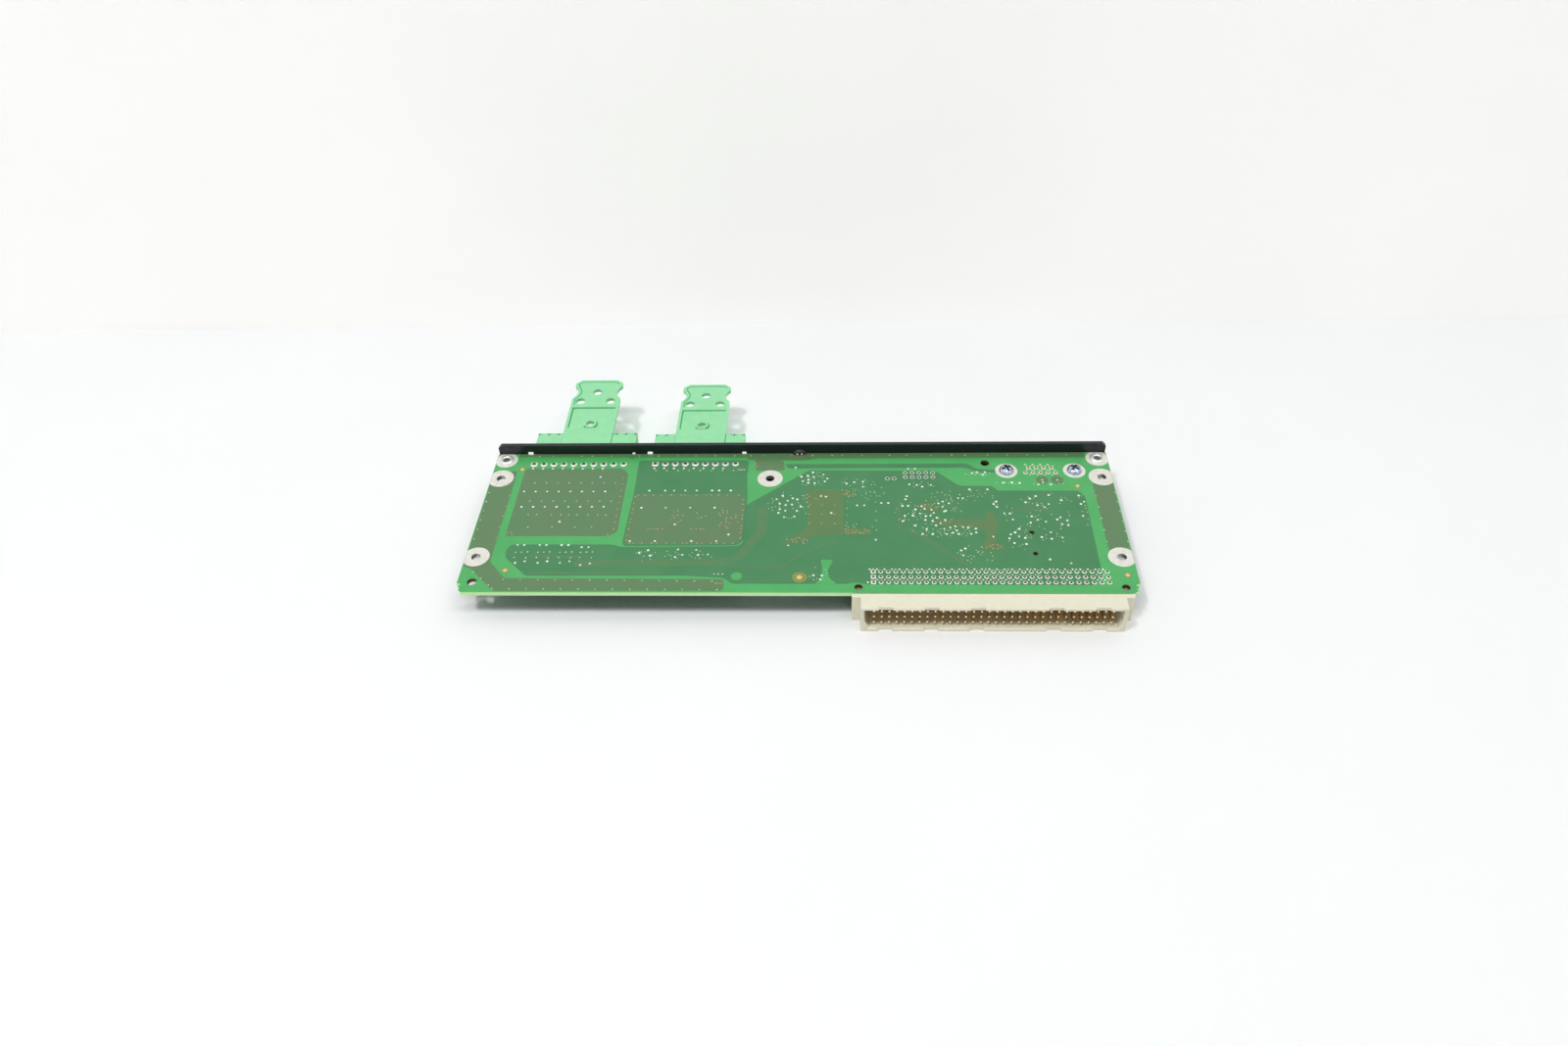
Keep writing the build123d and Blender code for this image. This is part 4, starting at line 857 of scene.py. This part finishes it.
painted_edge_highlight.links.new(soft.outputs["Normal"], turn.inputs[0])
painted_edge_highlight.links.new(hard.outputs["Normal"], turn.inputs[1])
painted_edge_highlight.links.new(turn.outputs["Value"], near_edge.inputs["Value"])
painted_edge_highlight.links.new(near_edge.outputs["Result"], blend.inputs["Factor"])
painted_edge_highlight.links.new(given.outputs["Colour"], blend.inputs["A"])
painted_edge_highlight.links.new(given.outputs["Edge"], blend.inputs["B"])
painted_edge_highlight.links.new(blend.outputs["Result"], result.inputs["Colour"])
painted_edge_highlight.links.new(near_edge.outputs["Result"], result.inputs["Highlight"])


def add_painted_highlight(material, colour_output, edge, width_mm):
    """Puts a painted highlight, a paler edge, over the colour that a material has from another effect."""
    tree = material.node_tree
    effect = tree.nodes.new("ShaderNodeGroup")
    effect.node_tree = painted_edge_highlight
    effect.inputs["Edge"].default_value = seen_as(*edge)
    effect.inputs["Width"].default_value = width_mm * MM
    tree.links.new(colour_output, effect.inputs["Colour"])
    tree.links.new(effect.outputs["Colour"], tree.nodes["Principled BSDF"].inputs["Base Color"])


black_paint = new_finish("black satin paint", 0.32)
base = add_mottle(black_paint, (14, 18, 28), (18, 23, 32), 3.0, 0.01)
# Painted highlight: a paler colour along the edges.
add_painted_highlight(black_paint, base.outputs["Colour"], (46, 54, 58), 0.25)
dress("front_panel", black_paint)

# Painted light at the foot of the panel's inner face, in the corners of its cut-outs: small glowing blocks, pale
# against the black, that stand in for the white table seen through the gaps.
glint_width = 0.95
glint_height = 0.85
glint_depth = 0.3
painted_gap_light = new_finish("painted light through a gap", 0.5)
add_mottle(painted_gap_light, (250, 252, 250), (242, 246, 244), 0.7)
# A faint glow, painted light: the blocks are no lamp.
shader = painted_gap_light.node_tree.nodes["Principled BSDF"]
shader.inputs["Emission Color"].default_value = seen_as(250, 252, 250)
shader.inputs["Emission Strength"].default_value = 0.5


def add_block(mesh, low, high):
    """A plain block between two corners."""
    spots = [
        mesh.verts.new((x, y, z))
        for z in (low[2], high[2]) for y in (low[1], high[1]) for x in (low[0], high[0])
    ]
    for face in ((0, 2, 3, 1), (4, 5, 7, 6), (0, 1, 5, 4), (2, 6, 7, 3), (0, 4, 6, 2), (1, 3, 7, 5)):
        mesh.faces.new([spots[n] for n in face])


mesh = bmesh.new()
for x, width in ((-103.0, 1.0), (-63.2, 0.5), (-56.9, 1.0), (-20.8, 0.8)):
    half = width * glint_width
    add_block(
        mesh,
        (x - half, panel_foot_y - glint_depth, board_top),
        (x + half, panel_foot_y, board_top + glint_height * width),
    )
add_piece("cut_out_glints", mesh, painted_gap_light)

# Brackets behind the panel, zinc plated sheet, held by tubular rivets in the board and by
# pan-head screws in the panel.
zinc = new_finish("zinc plate", 0.34, 0.9)
base = add_mottle(zinc, (196, 200, 204), (176, 180, 186), 1.8, 0.01)
# Painted highlight: a paler colour along the edges.
add_painted_highlight(zinc, base.outputs["Colour"], (226, 228, 230), 0.2)
for node in ("panel_bracket_left", "panel_bracket_right", "dsub_brackets"):
    dress(node, zinc)
rivet_tin = new_finish("tinned rivet", 0.36, 0.75)
add_mottle(rivet_tin, (238, 238, 234), (214, 214, 210), 0.9, 0.01)
rivet_profile = [
    (1.22, 0.0), (1.24, 0.3), (1.36, 0.52), (1.62, 0.66), (1.95, 0.7), (2.3, 0.62), (2.55, 0.44),
    (2.7, 0.22), (2.75, 0.0), (1.6, 0.0), (1.6, -2.75), (2.3, -2.8), (2.3, -3.2), (1.3, -3.2),
    (1.3, -1.6),
]
# Painted shade in each hollow rivet: a grey cup closes its bore a little below the rim.
rivet_shade_cup = [(0.0, -0.7), (0.8, -0.7), (1.1, -0.5), (1.22, 0.0)]
rivet_x = 111.64
rivet_y = -4.65
mesh = bmesh.new()
for side in (-1, 1):
    add_turned(mesh, side * rivet_x, rivet_y, rivet_profile, 48)
rivets = add_piece("rolled_rivets", mesh, rivet_tin, smooth=True)
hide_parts("bracket_rivets")
mesh = bmesh.new()
for side in (-1, 1):
    add_turned(mesh, side * rivet_x, rivet_y, rivet_shade_cup, 32)
painted_rivet_shade = new_finish("painted shade inside a rivet", 0.6)
add_mottle(painted_rivet_shade, (112, 114, 114), (78, 80, 80), 0.6)
add_piece("rivet_shade_cups", mesh, painted_rivet_shade, smooth=True)


def pan_head(mesh, radius, height, recess_reach, recess_width, recess_depth, sides=96, rings=26):
    """A domed screw head with a cross recess, about the origin, its seat at height 0."""
    rows, low = [], set()
    for k in range(rings + 1):
        share = k / rings
        reach = radius * share
        dome = height * (1 - share ** 2.6) ** 0.5
        spots = []
        for px, py in ring_of(0, 0, max(reach, 0.001), sides):
            along, aside = max(abs(px), abs(py)), min(abs(px), abs(py))
            inside = along < recess_reach and aside < recess_width / 2
            drop = recess_depth * (1 - 0.45 * along / recess_reach) if inside else 0.0
            spots.append(mesh.verts.new((px, py, dome - drop)))
            if inside:
                low.add(spots[-1])
        rows.append(spots)
    faces = [mesh.faces.new(rows[0])]
    for inner, outer in zip(rows, rows[1:]):
        for n in range(sides):
            faces.append(mesh.faces.new((inner[n - 1], outer[n - 1], outer[n], inner[n])))
    for face in faces:
        face.material_index = 1 if low.issuperset(face.verts) else 0


chrome = new_finish("bright zinc screw", 0.14, 1.0)
add_mottle(chrome, (204, 214, 228), (134, 148, 172), 1.1, 0.05)
# Painted shade in the cross recesses: the same zinc, drawn darker.
painted_recess_shade = new_finish("cross recess", 0.35, 0.9)
add_mottle(painted_recess_shade, (112, 118, 128), (70, 74, 82), 0.5, 0.03)
board_screw_x = [nine_way_x + side * 12.5 for side in (-1, 1)]
board_screw_y = -11.7
board_screw_turns = (0.35, 0.9)
mesh = bmesh.new()
for x, turned in zip(board_screw_x, board_screw_turns):
    head = bmesh.new()
    pan_head(head, 2.75, 1.9, 1.85, 0.8, 1.4)
    add_turned(head, 0, 0, [(2.75, 0.02), (2.7, 0.0), (1.3, 0.0), (1.3, -5.5), (0.0, -5.5)], 32, 0.0)
    bmesh.ops.rotate(head, matrix=Matrix.Rotation(turned, 3, "Z"), verts=head.verts)
    bmesh.ops.translate(head, vec=(x, board_screw_y, board_top), verts=head.verts)
    part = bpy.data.meshes.new("screw head")
    head.to_mesh(part)
    head.free()
    mesh.from_mesh(part)
    bpy.data.meshes.remove(part)
screws = add_piece("cross_head_screws", mesh, chrome, smooth=True)
screws.data.materials.append(painted_recess_shade)
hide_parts("dsub_board_screws")
dull_screw = new_finish("zinc screw", 0.3, 0.95)
base = add_mottle(dull_screw, (184, 188, 194), (160, 164, 172), 0.8, 0.01)
# Painted highlight: a paler colour along the edges.
add_painted_highlight(dull_screw, base.outputs["Colour"], (220, 222, 226), 0.12)
for node in ("panel_screws", "dsub_jack_screws", "clamp_screws_10", "clamp_screws_9"):
    dress(node, dull_screw)

# Backplane connector: beige glass-filled moulding, open towards the camera, with three rows
# of gold plated pins.
beige = new_finish("beige moulding", 0.46)
base = add_mottle(beige, (234, 231, 209), (229, 225, 202), 2.2, 0.015)
# Painted highlight: a paler colour along the edges.
add_painted_highlight(beige, base.outputs["Colour"], (244, 242, 226), 0.2)
dress("backplane_shell", beige)
# Painted shade and painted reflection: a brown sheet at the back of the mouth, between the pins, stands for the
# beige moulding in the pins' shade, tinted by the gold.
painted_mouth_shade = new_finish("painted shade and gold reflection in the mouth", 0.6)
add_mottle(painted_mouth_shade, (184, 150, 92), (156, 120, 68), 1.2, 0.01)
floor_low, floor_high = (24.1, -74.78, 6.7), (108.1, -74.76, 14.5)
mesh = bmesh.new()
add_block(mesh, floor_low, floor_high)
add_piece("painted_mouth_shade_sheet", mesh, painted_mouth_shade)
gold = new_finish("gold plated contact", 0.4, 0.4)
base = add_mottle(gold, (206, 172, 108), (184, 148, 88), 1.1, 0.01)
# Painted highlight: a paler colour along the edges.
add_painted_highlight(gold, base.outputs["Colour"], (232, 208, 150), 0.1)
# Painted highlight on the tips: the same gold plating, drawn paler and glossier.
painted_tip_highlight = new_finish("gold with a painted highlight on the tip", 0.12, 0.9)
add_mottle(painted_tip_highlight, (255, 246, 214), (255, 236, 190), 0.8)
half_pin = 0.3
pin_tip = (-80.75, 0.29)
pin_shoulder_y = -80.5
row_a_z = 13.11
for row_number, letter in enumerate("abc"):
    level = row_a_z - row_number * connector_pitch
    tail_y = connector_rows[0] + row_number * connector_pitch
    mesh = bmesh.new()
    for x in columns(connector_x, connector_pitch, 32):
        loops = [
            [mesh.verts.new((x + i * size, y, level + j * size)) for i, j in square_corners]
            for y, size in (pin_tip, (pin_shoulder_y, half_pin), (tail_y + half_pin, half_pin))
        ]
        mesh.faces.new(loops[0]).material_index = 1
        mesh.faces.new(loops[-1][::-1])
        for near, far in zip(loops, loops[1:]):
            for n in range(4):
                side = mesh.faces.new((near[n - 1], far[n - 1], far[n], near[n]))
                side.material_index = 1 if near is loops[0] else 0
        add_block(
            mesh,
            (x - half_pin, tail_y - half_pin, level + half_pin),
            (x + half_pin, tail_y + half_pin, board_top + 0.4),
        )
    pins = add_piece(f"tapered_pins_{letter}", mesh, gold)
    pins.data.materials.append(painted_tip_highlight)
    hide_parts(f"contacts_row_{letter}")
dress("dsub_contacts", gold)

# Terminal headers and plugs: light green mouldings with tinned pins, square wire clamps and
# a screw over each. The plugs carry flat strain relief plates of the same plastic.
green = new_finish("light green moulding", 0.42)
base = add_mottle(green, (152, 228, 172), (146, 222, 166), 3.0, 0.012)
# Painted highlight: a paler colour along the edges.
add_painted_highlight(green, base.outputs["Colour"], (176, 238, 192), 0.22)
for ways in terminal_middles:
    for node in ("terminal_header", "terminal_plug", "strain_relief"):
        dress(f"{node}_{ways}", green)
leans = {10: radians(0.9), 9: radians(-2.1)}
plug_end = 16.8
flat_z = 3.425
plug_half_widths = {10: 19.495, 9: 17.59}
# Painted shade: thin dark green lines along the rims of the plates' pockets, round the eyes, beside the clip
# plates and at the plugs' rear edge.
painted_groove_shade = new_finish("painted shade in grooves and gaps", 0.5)
add_mottle(painted_groove_shade, (80, 172, 108), (72, 160, 100), 1.4)


def on_plug(ways, x, y, z):
    """A place given from a plug's own middle, on the card. The plugs lean a little."""
    lean = leans[ways]
    return Vector((
        terminal_middles[ways] + x,
        -2.325 + y * cos(lean) - z * sin(lean),
        10.775 + y * sin(lean) + z * cos(lean),
    ))


def add_shade_line(mesh, ways, points, height, width):
    """A thin line of painted shade, standing for a groove's shaded side, on a plug or its plate."""
    low = band(points, width)
    top = [mesh.verts.new(on_plug(ways, p.x, p.y, height + 0.02)) for p in low]
    foot = [mesh.verts.new(on_plug(ways, p.x, p.y, height - 0.35)) for p in low]
    half = len(points)
    for n in range(half - 1):
        a, b, c, d = n, n + 1, 2 * half - 2 - n, 2 * half - 1 - n
        mesh.faces.new((top[d], top[c], top[b], top[a]))
    for n in range(len(top)):
        mesh.faces.new((foot[n - 1], top[n - 1], top[n], foot[n]))


mesh = bmesh.new()
for ways, half in plug_half_widths.items():
    add_shade_line(mesh, ways, [(-8.5, plug_end + 3.2), (-8.5, plug_end + 16.1)], flat_z - 0.45, 0.45)
    add_shade_line(mesh, ways, [(-8.5, plug_end + 16.1), (8.7, plug_end + 16.1)], flat_z - 0.45, 0.4)
    waist = [(-8.45, 18.2), (-8.45, 21.8), (-7.4, 23.4), (-6.65, 25.6), (-6.8, 27.6), (-8.1, 30.4),
             (-8.3, 31.8), (-6.9, 33.1), (6.9, 33.1), (8.2, 31.8)]
    add_shade_line(mesh, ways, [(x, plug_end + y) for x, y in waist], flat_z, 0.45)
    eye = [
        (2.7 * cos(radians(angle)), plug_end + 5.7 + 2.7 * sin(radians(angle)))
        for angle in range(-150, 40, 15)
    ]
    add_shade_line(mesh, ways, eye, flat_z, 0.4)
    add_shade_line(mesh, ways, [(9.95, 4.2), (9.95, plug_end - 0.4)], flat_z, 0.4)
    for n in range(ways + 1):
        x = (n - ways / 2) * terminal_pitch
        if 10.4 < abs(x) < half - 0.3:
            add_shade_line(mesh, ways, [(x, plug_end - 1.7), (x, plug_end - 0.42)], flat_z, 0.6)
            ends = max(x - 1.2, 0.3 - half), min(x + 1.2, half - 0.3)
            add_shade_line(mesh, ways, [(end, plug_end - 1.0) for end in ends], flat_z, 0.25)
add_piece("painted_shade_lines", mesh, painted_groove_shade)
tin = new_finish("tin plate", 0.3, 0.9)
base = add_mottle(tin, (206, 208, 208), (184, 186, 188), 1.0, 0.01)
# Painted highlight: a paler colour along the edges.
add_painted_highlight(tin, base.outputs["Colour"], (232, 232, 232), 0.12)
for ways in terminal_middles:
    dress(f"header_pins_{ways}", tin)
    dress(f"wire_clamps_{ways}", tin)

# The nine-way connector behind the panel: tinned steel shell with a black moulding in it,
# and hex jack screws.
for node in ("dsub_shell", "indicator_leads"):
    dress(node, tin)
black_plastic = new_finish("black moulding", 0.45)
base = add_mottle(black_plastic, (24, 25, 26), (30, 31, 32), 1.2, 0.015)
# Painted highlight: a paler colour along the edges.
add_painted_highlight(black_plastic, base.outputs["Colour"], (52, 53, 54), 0.15)
dress("dsub_insulator", black_plastic)

# Indicator: a black clip-in holder with a small green lens, at the middle of the back edge
dress("indicator_holder", black_plastic)
lens = new_finish("green lens", 0.12)
add_mottle(lens, (52, 150, 74), (70, 172, 92), 1.0)
lens.node_tree.nodes["Principled BSDF"].inputs["Transmission Weight"].default_value = 0.35
dress("indicator_lens", lens)
# Painted shade: a black half-disc at the holder's foot stands for the shaded half-round cut-out where the leads
# pass.
foot_middle = (0.27, -0.8)
mesh = bmesh.new()
half_disc = [
    (foot_middle[0] + 2.9 * cos(pi + pi * n / 20), foot_middle[1] + 1.5 * sin(pi + pi * n / 20))
    for n in range(21)
]
add_plate(mesh, half_disc, board_top, board_top + 0.12)
add_piece("painted_notch_shade", mesh, black_plastic)
mesh = bmesh.new()
for side in (-0.8, 0.8):
    add_turned(mesh, foot_middle[0] + side, -1.5, [(0.0, 0.6), (0.35, 0.5), (0.5, 0.12)], 16)
add_piece("indicator_joints", mesh, dull_tin, smooth=True)

# Packages of the component side: black moulding compound with a dot by the first lead, and
# tinned gull-wing leads down to the board, formed from a stamped frame.
moulding = new_finish("moulding compound", 0.6)
base = add_mottle(moulding, (30, 31, 33), (36, 37, 39), 0.8, 0.02)
# Painted highlight: a paler colour along the edges.
add_painted_highlight(moulding, base.outputs["Colour"], (58, 59, 61), 0.2)
for node in ("logic_array", "processor", "memory_chips", "line_drivers", "isolation_couplers",
             "line_receivers", "converter_module"):
    dress(node, moulding)
square_packages = (
    ([(-1, -38)], 14.0, 3.4, 52, 0.5, 0.22),
    ([(46, -40)], 10.0, 2.7, 26, 0.65, 0.3),
)
small_packages = (
    ([(24, y) for y in (-27, -40, -53)], 3.8, 2.7, 14, 1.27, 0.42),
    ([(x, y) for x in (72, 90) for y in (-32.5, -44)], 3.75, 2.4, 8, 1.27, 0.42),
    ([(x, y) for x in (-97, -85.5, -74) for y in (-31, -43)], 3.2, 3.6, 4, 2.54, 0.6),
    ([(x, -60) for x in (-92, -80, -68, -44, -32)], 1.95, 1.6, 7, 1.27, 0.42),
)


def add_wing(mesh, x, y, aside, depth, width):
    """One gull-wing lead out of a package's side, along the direction aside."""
    out = Vector((*aside, 0))
    across = Vector((-out.y, out.x, 0)) * width / 2
    path = [(-0.1, depth / 2), (0.4, depth / 2), (0.6, 0.14), (1.25, 0.14)]
    rows = []
    for reach, drop in path:
        middle = Vector((x, y, board_under - drop)) + out * reach
        thick = Vector((0, 0, 0.08))
        rows.append([
            mesh.verts.new(middle + across * i + thick * j)
            for i, j in ((-1, -1), (1, -1), (1, 1), (-1, 1))
        ])
    mesh.faces.new(rows[0])
    mesh.faces.new(rows[-1][::-1])
    for near, far in zip(rows, rows[1:]):
        for n in range(4):
            mesh.faces.new((near[n - 1], far[n - 1], far[n], near[n]))


wings = bmesh.new()
dots = bmesh.new()
for places, half, depth, count, pitch, width in square_packages:
    for x, y in places:
        for aside in ((1, 0), (-1, 0), (0, 1), (0, -1)):
            for step in columns(0, pitch, count):
                add_wing(wings, x + aside[0] * half + aside[1] * step,
                         y + aside[1] * half + aside[0] * step, aside, depth, width)
        add_turned(dots, x - half + 2.2, y - half + 2.2, [(0.9, 0.05), (0.9, -0.03), (0.0, -0.03)],
                   20, board_under - depth)
for places, half, depth, count, pitch, width in small_packages:
    for x, y in places:
        for side in (1, -1):
            for step in columns(0, pitch, count):
                add_wing(wings, x + step, y + side * half, (0, side), depth, width)
        add_turned(dots, x - (count - 1) * pitch / 2, y - half + 1.1,
                   [(0.45, 0.05), (0.45, -0.03), (0.0, -0.03)], 16, board_under - depth)
add_piece("gull_wing_leads", wings, tin)
pale_mould = new_finish("moulded dot", 0.45)
add_mottle(pale_mould, (62, 64, 66), (54, 55, 57), 0.6, 0.01)
add_piece("first_lead_dots", dots, pale_mould, smooth=True)

# Chip parts of the component side: small resistors and ceramic capacitors in rows, soldered
# by their tinned ends, and moulded tantalum capacitors with a stripe at the positive end.
tantalum = new_finish("tantalum case", 0.5)
base = add_mottle(tantalum, (206, 150, 60), (196, 140, 52), 0.9, 0.015)
# Painted highlight: a paler colour along the edges.
add_painted_highlight(tantalum, base.outputs["Colour"], (224, 176, 92), 0.15)
dress("tantalum_capacitors", tantalum)
tantalum_places = [(-32, -22), (-20, -22), (40, -58), (52, -58), (64, -58), (104, -50)]
chip_rows = (
    [(x, y) for y in (-22.0, -37.0, -50.0) for x in columns(-86, 4.6, 8)]
    + [(x, -65.5) for x in columns(-62, 4, 18)]
    + [(x, -54.0) for x in columns(-84, 4, 6)]
    + [(x, -19.0) for x in columns(-1, 4, 7)]
    + [(x, y) for y in (-33.5, -46.5) for x in columns(24, 4.6, 4)]
    + [(x, -25.5) for x in columns(44, 3.6, 4)]
    + [(81.0, y) for y in columns(-38, 4, 5)]
    + [(x, -51.0) for x in columns(80, 4, 7)]
)
chip_length, chip_width, chip_height, cap_length = 2.0, 1.25, 0.5, 0.35
bodies = bmesh.new()
caps = bmesh.new()
stripes = bmesh.new()
for x, y in chip_rows:
    half, wide = chip_length / 2, chip_width / 2
    add_block(bodies, (x - half + cap_length, y - wide, board_under - chip_height),
              (x + half - cap_length, y + wide, board_under - 0.02))
    for side in (-1, 1):
        ends = sorted((x + side * half, x + side * (half - cap_length)))
        add_block(caps, (ends[0], y - wide - 0.03, board_under - chip_height - 0.03),
                  (ends[1], y + wide + 0.03, board_under))
for x, y in tantalum_places:
    for side in (-1, 1):
        ends = sorted((x + side * 3.65, x + side * 3.78))
        add_block(caps, (ends[0], y - 1.2, board_under - 1.6), (ends[1], y + 1.2, board_under))
    add_block(stripes, (x - 3.3, y - 1.9, board_under - 2.92), (x - 2.3, y + 1.9, board_under - 2.8))
ceramic = new_finish("chip part body", 0.5)
add_mottle(ceramic, (42, 42, 46), (58, 52, 44), 3.0, 0.01)
add_piece("chip_bodies", bodies, ceramic)
add_piece("chip_ends", caps, tin)
stripe = new_finish("polarity stripe", 0.5)
add_mottle(stripe, (120, 66, 22), (108, 58, 18), 0.8, 0.01)
add_piece("polarity_stripes", stripes, stripe)

# Electrolytic capacitors: drawn aluminium cans crimped on black moulded bases, with a dark
# segment on the end at the negative lead. The oscillator has a drawn can too.
can = new_finish("drawn can", 0.3, 0.95)
base = add_mottle(can, (198, 200, 204), (182, 184, 190), 1.6, 0.008)
# Painted highlight: a paler colour along the edges.
add_painted_highlight(can, base.outputs["Colour"], (228, 230, 232), 0.2)
dress("oscillator", can)
can_places = [(-15, -60), (-3, -60), (103, -30)]
can_profile = [
    (3.95, -0.85), (4.0, -1.0), (4.0, -2.3), (3.7, -2.55), (3.7, -2.85), (4.0, -3.1), (4.0, -9.4),
    (3.85, -9.8), (3.5, -9.95), (3.3, -9.9), (0.0, -9.9),
]
cans = bmesh.new()
seats = bmesh.new()
segments = bmesh.new()
for x, y in can_places:
    add_turned(cans, x, y, can_profile, 48, board_under)
    seat = rounded([(x - 4.15, y - 4.15), (x + 4.15, y - 4.15), (x + 4.15, y + 4.15), (x - 4.15, y + 4.15)], 1.2)
    add_plate(seats, seat, board_under - 0.9, board_under - 0.02)
    add_plate(seats, [(p.x, p.y) for p in seat], board_under - 0.02, board_under - 0.9)
    arc = [(x + 3.2 * cos(radians(a)), y + 3.2 * sin(radians(a))) for a in range(125, 236, 10)]
    add_plate(segments, arc, board_under - 9.8, board_under - 9.95)
drawn_cans = add_piece("drawn_cans", cans, can, smooth=True)
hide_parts("filter_capacitors")
add_piece("can_seats", seats, black_plastic)
add_piece("can_segments", segments, black_plastic)

# Power coils: ferrite drums wound with enamelled copper wire, on moulded bases
ferrite = new_finish("ferrite", 0.7)
base = add_mottle(ferrite, (50, 50, 52), (42, 42, 44), 0.7, 0.03)
# Painted highlight: a paler colour along the edges.
add_painted_highlight(ferrite, base.outputs["Colour"], (80, 80, 82), 0.15)
enamel = new_finish("enamelled wire", 0.3, 0.6)
add_mottle(enamel, (190, 104, 58), (170, 90, 48), 1.0, 0.01)
coil_places = [(-61, -26), (-61, -51.5)]
drum_profile = [
    (5.4, -1.2), (5.4, -2.1), (4.3, -2.1), (4.3, -5.1), (5.4, -5.1), (5.4, -5.85), (5.25, -6.0),
    (0.0, -6.0),
]
wire_turns = 7
wire_radius = 0.2
winding_profile = []
for turn in range(wire_turns):
    level = -2.3 - turn * 2 * wire_radius
    winding_profile += [(4.75, level + wire_radius), (4.95, level), (4.75, level - wire_radius)]
drums = bmesh.new()
windings = bmesh.new()
for x, y in coil_places:
    half, cut = 6.25, 2.1
    base_outline = [
        (x - half + cut, y - half), (x + half - cut, y - half), (x + half, y - half + cut),
        (x + half, y + half - cut), (x + half - cut, y + half), (x - half + cut, y + half),
        (x - half, y + half - cut), (x - half, y - half + cut),
    ]
    add_plate(drums, base_outline, board_under, board_under - 1.2)
    add_turned(drums, x, y, drum_profile, 40, board_under)
    add_turned(windings, x, y, winding_profile, 40, board_under)
wound = add_piece("wound_drums", drums, ferrite, smooth=True)
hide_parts("power_coils")
add_piece("coil_windings", windings, enamel, smooth=True)
